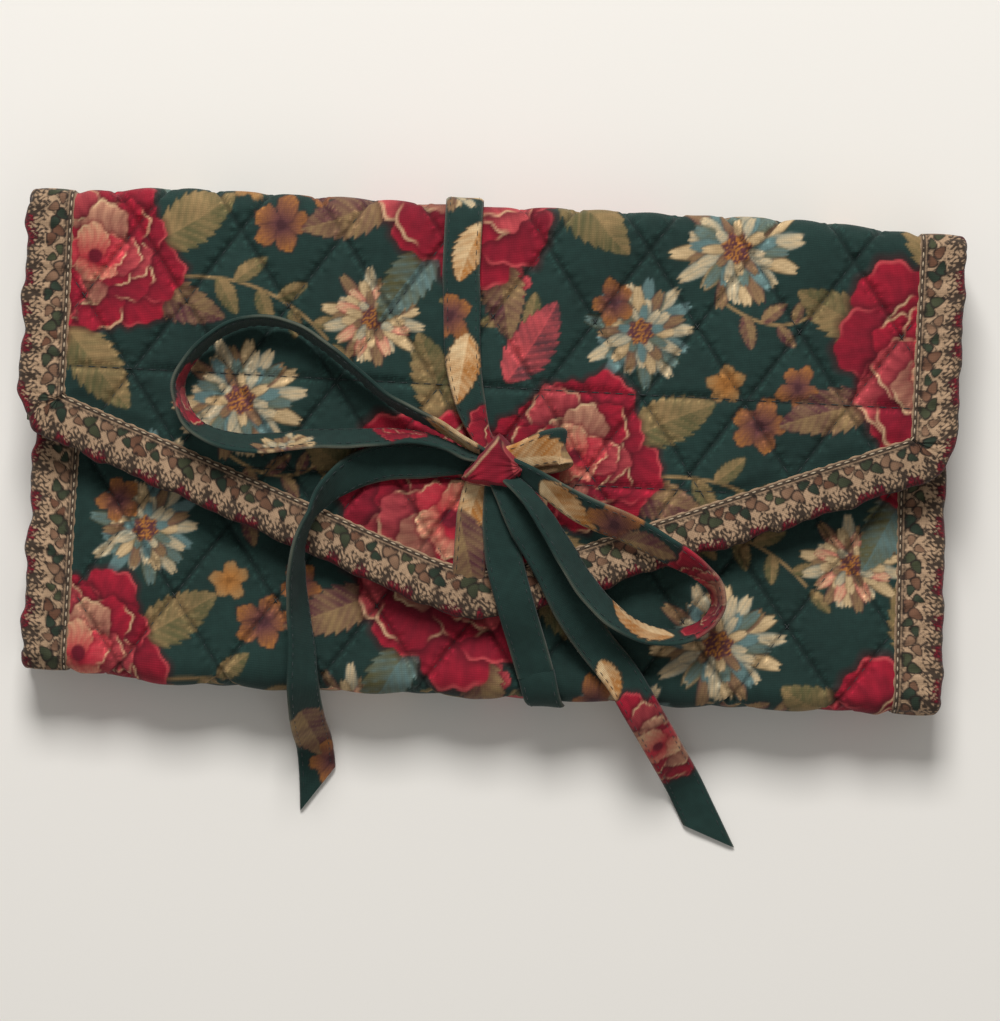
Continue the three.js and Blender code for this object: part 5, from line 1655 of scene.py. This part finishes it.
class ROLL_OT_linings(bpy.types.Operator):
    """Line the sheet and sew in its pockets"""

    bl_idname = "roll.linings"
    bl_label = "Linings and pockets"

    def execute(self, context):
        gap = ZIP_WINDOW / 2
        flap_gap = (FLAP_ZIP_HALF - ZIP_WINDOW_INSET, FLAP_ZIP_Y - gap, FLAP_ZIP_Y + gap)
        back_ends = (back_station(BACK_ZIP_Y + gap), back_station(BACK_ZIP_Y - gap))
        back_gap = (BACK_ZIP_HALF - ZIP_WINDOW_INSET, *back_ends)
        pocket = {"level": POCKET_LEVEL, "inset": POCKET_INSET}
        for name, low, high, fold, nodes, fit in (
            ("flap_lining", flap_gap[1], TOP_MID, "flap", ("top_fold_lining",), {"window": flap_gap}),
            ("flap_pocket", FLAP_TIP + LINING_INSET, flap_gap[1], "flap", (), {}),
            ("back_lining", TOP_MID, back_gap[2], "top", (), {"window": back_gap}),
            ("back_pocket", back_gap[2], FRONT_MID, "bottom", (), {}),
            ("front_lining", FRONT_MID, LEAF_END - LINING_INSET, "front", ("bottom_fold_lining",), {}),
            ("front_pocket", LEAF_START + POCKET_START, LEAF_START + POCKET_HEIGHT, "front", (), pocket),
        ):
            self.line(name, low, high, fold, nodes, context, **fit)
        return {"FINISHED"}

    def line(
        self, node, low, high, fold, nodes, context, level=LINING_LEVEL, inset=LINING_INSET, window=None
    ):
        """A plain sheet on the inner side, with a window for a zipper where one is given."""
        half = FLAP_HALF - inset
        rows = max(round((high - low) / LINING_STEP), 4)
        shape = grid_shape(LINING_COLUMNS, rows, (-half, low), (half, high))
        if fold == "flap":
            trim_point(shape, inset)
        if window:
            middles = [(face, face.calc_center_median()) for face in shape.faces]
            cut = [face for face, c in middles if abs(c.x) < window[0] and window[1] < c.y < window[2]]
            bmesh.ops.delete(shape, geom=cut, context="FACES")
        sheet = object_from(f"{node}_sheet", shape)
        flat = points_of(sheet)
        s = flat[:, 1]
        x = flat[:, 0] * (half_width(s) - inset) / half
        uneven = 0.12 * np.sin(x / 6.1 + np.sin(s / 8)) * np.sin(s / 5.3)
        set_weave(sheet, x, s)
        move_points(sheet, np.stack((x, s, np.zeros_like(s)), axis=1) * MM)
        move_points(sheet, wrap(x, s, level + uneven))
        thicken(sheet, -LINING_CLOTH)
        finish(sheet, "plain_lining", context)
        bend(sheet, fold)
        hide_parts(node, *nodes)


class ROLL_OT_zippers(bpy.types.Operator):
    """Weave the zipper tapes and wind their coils"""

    bl_idname = "roll.zippers"
    bl_label = "Zippers"

    def execute(self, context):
        flap_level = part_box("flap_zip_tape_fold")[1].z / MM
        back_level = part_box("back_zip_tape_fold")[0].z / MM
        for body, y, half, level, inner in (
            ("flap", FLAP_ZIP_Y, FLAP_ZIP_HALF, flap_level, -1),
            ("back", BACK_ZIP_Y, BACK_ZIP_HALF, back_level, 1),
        ):
            for side, label in ((1, "fold"), (-1, "point")):
                node = f"{body}_zip_tape_{label}"
                tape = self.tape(f"{node}_woven", y, half, level, inner, side, context)
                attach(tape, body)
                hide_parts(node)
                coil = self.coil(f"{node}_coil", y, half, level, inner, side, context)
                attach(coil, body)
        return {"FINISHED"}

    def tape(self, name, y, half, level, inner, side, context):
        """One ribbed tape on a side of the opening at y. inner is the way to the inside of the roll."""
        shape = grid_shape(*TAPE_GRID, (-half, TAPE_START), (half, TAPE_START + TAPE_WIDTH))
        tape = object_from(name, shape)
        x, across, _ = points_of(tape).T
        set_weave(tape, x, across)
        height = level + inner * (TAPE_RIB_DEPTH * np.cos(2 * math.pi * across / TAPE_RIB) - TAPE_SINK)
        move_points(tape, np.stack((x, y + side * across, height), axis=1) * MM)
        thicken(tape, TAPE_CLOTH)
        return finish(tape, "zipper_tape", context)

    def coil(self, name, y, half, level, inner, side, context):
        """One side of the coil: short turns, half a pitch off those of the other side."""
        shape = bmesh.new()
        for place in np.arange(-half + COIL_MARGIN, half - COIL_MARGIN, COIL_PITCH):
            offset = COIL_PITCH / 2 if side > 0 else 0
            middle = Vector((place + offset, y + side * TAPE_START, level + inner * COIL_RISE)) * MM
            turn = Matrix.LocRotScale(middle, None, Vector(COIL_TURN) * MM)
            bmesh.ops.create_icosphere(shape, subdivisions=2, radius=1, matrix=turn)
        return finish(smooth(object_from(name, shape)), "coil_nylon", context)


class ROLL_OT_ring_bar(bpy.types.Operator):
    """Stuff the ring bar"""

    bl_idname = "roll.ring_bar"
    bl_label = "Ring bar"

    def execute(self, context):
        low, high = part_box("ring_bar_roll")
        foot = low.z / MM
        end = high.x / MM
        bar, column, row = index_grid("ring_bar_padded", BAR_COLUMNS, BAR_ROWS)
        turn = 2 * math.pi * (column % BAR_COLUMNS) / BAR_COLUMNS
        x = -end + 2 * end * row / BAR_ROWS
        full = ease((RING_BAR_HALF - np.abs(x)) / (1.7 * RING_BAR_RADIUS))
        tall = TAB_THICK + (RING_BAR_RADIUS - TAB_THICK) * full
        wide = TAB_HALF + (RING_BAR_RADIUS - TAB_HALF) * full
        lift = TAB_LIFT * ease((x - RING_BAR_HALF + TAB_RUN) / TAB_RUN)
        gather = 1 + 0.06 * np.sin(9 * turn + 1.3) * bell(np.abs(x) - RING_BAR_HALF + 6, 7)
        squared = np.sign(np.sin(turn)) * np.abs(np.sin(turn)) ** (1 - 0.5 * (1 - full))
        y = RING_BAR_Y + wide * np.cos(turn) * gather
        z = foot + lift + tall + tall * squared * gather
        around = turn * RING_BAR_RADIUS
        rgb = print_floral(x, around, hues(context), BAR_SHIFT)
        print_on(bar, x, around, rgb, np.stack((x, y, z), axis=1) * MM, context)
        close_ribbon(bar)
        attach(bar, "ring_bar")
        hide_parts("ring_bar_roll")
        return {"FINISHED"}


class ROLL_OT_metal(bpy.types.Operator):
    """Finish sliders, pulls and snaps in aged brass"""

    bl_idname = "roll.metal"
    bl_label = "Metal parts"

    def execute(self, context):
        for name in (
            "flap_zip_slider", "flap_zip_pull", "back_zip_slider", "back_zip_pull",
            "snap_socket", "snap_stud",
        ):
            finish(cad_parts[name], "aged_brass", context)
        return {"FINISHED"}


OPERATORS = (
    ROLL_OT_stage, ROLL_OT_bow, ROLL_OT_straps, ROLL_OT_knot, ROLL_OT_covers, ROLL_OT_bindings,
    ROLL_OT_linings, ROLL_OT_zippers, ROLL_OT_ring_bar, ROLL_OT_metal,
)


class ROLL_PT_pieces(bpy.types.Panel):
    """Lists the pieces of the roll"""

    bl_idname = "ROLL_PT_pieces"
    bl_label = "Jewelry Roll"
    bl_space_type = "VIEW_3D"
    bl_region_type = "UI"
    bl_category = "Roll"

    def draw(self, context):
        layout = self.layout
        for operator in OPERATORS:
            layout.operator(operator.bl_idname)
        for group in (context.scene.roll_sizes, context.scene.roll_colours):
            for name in group.__annotations__:
                layout.prop(group, name)


CLASSES = (RollSizes, RollColours, *OPERATORS, ROLL_PT_pieces)


def register():
    for each in CLASSES:
        bpy.utils.register_class(each)
    bpy.types.Scene.roll_sizes = bpy.props.PointerProperty(type=RollSizes)
    bpy.types.Scene.roll_colours = bpy.props.PointerProperty(type=RollColours)


def unregister():
    del bpy.types.Scene.roll_colours
    del bpy.types.Scene.roll_sizes
    for each in reversed(CLASSES):
        bpy.utils.unregister_class(each)


def main():
    register()
    for operator in OPERATORS:
        group, name = operator.bl_idname.split(".")
        getattr(getattr(bpy.ops, group), name)()


if __name__ == "__main__":
    main()
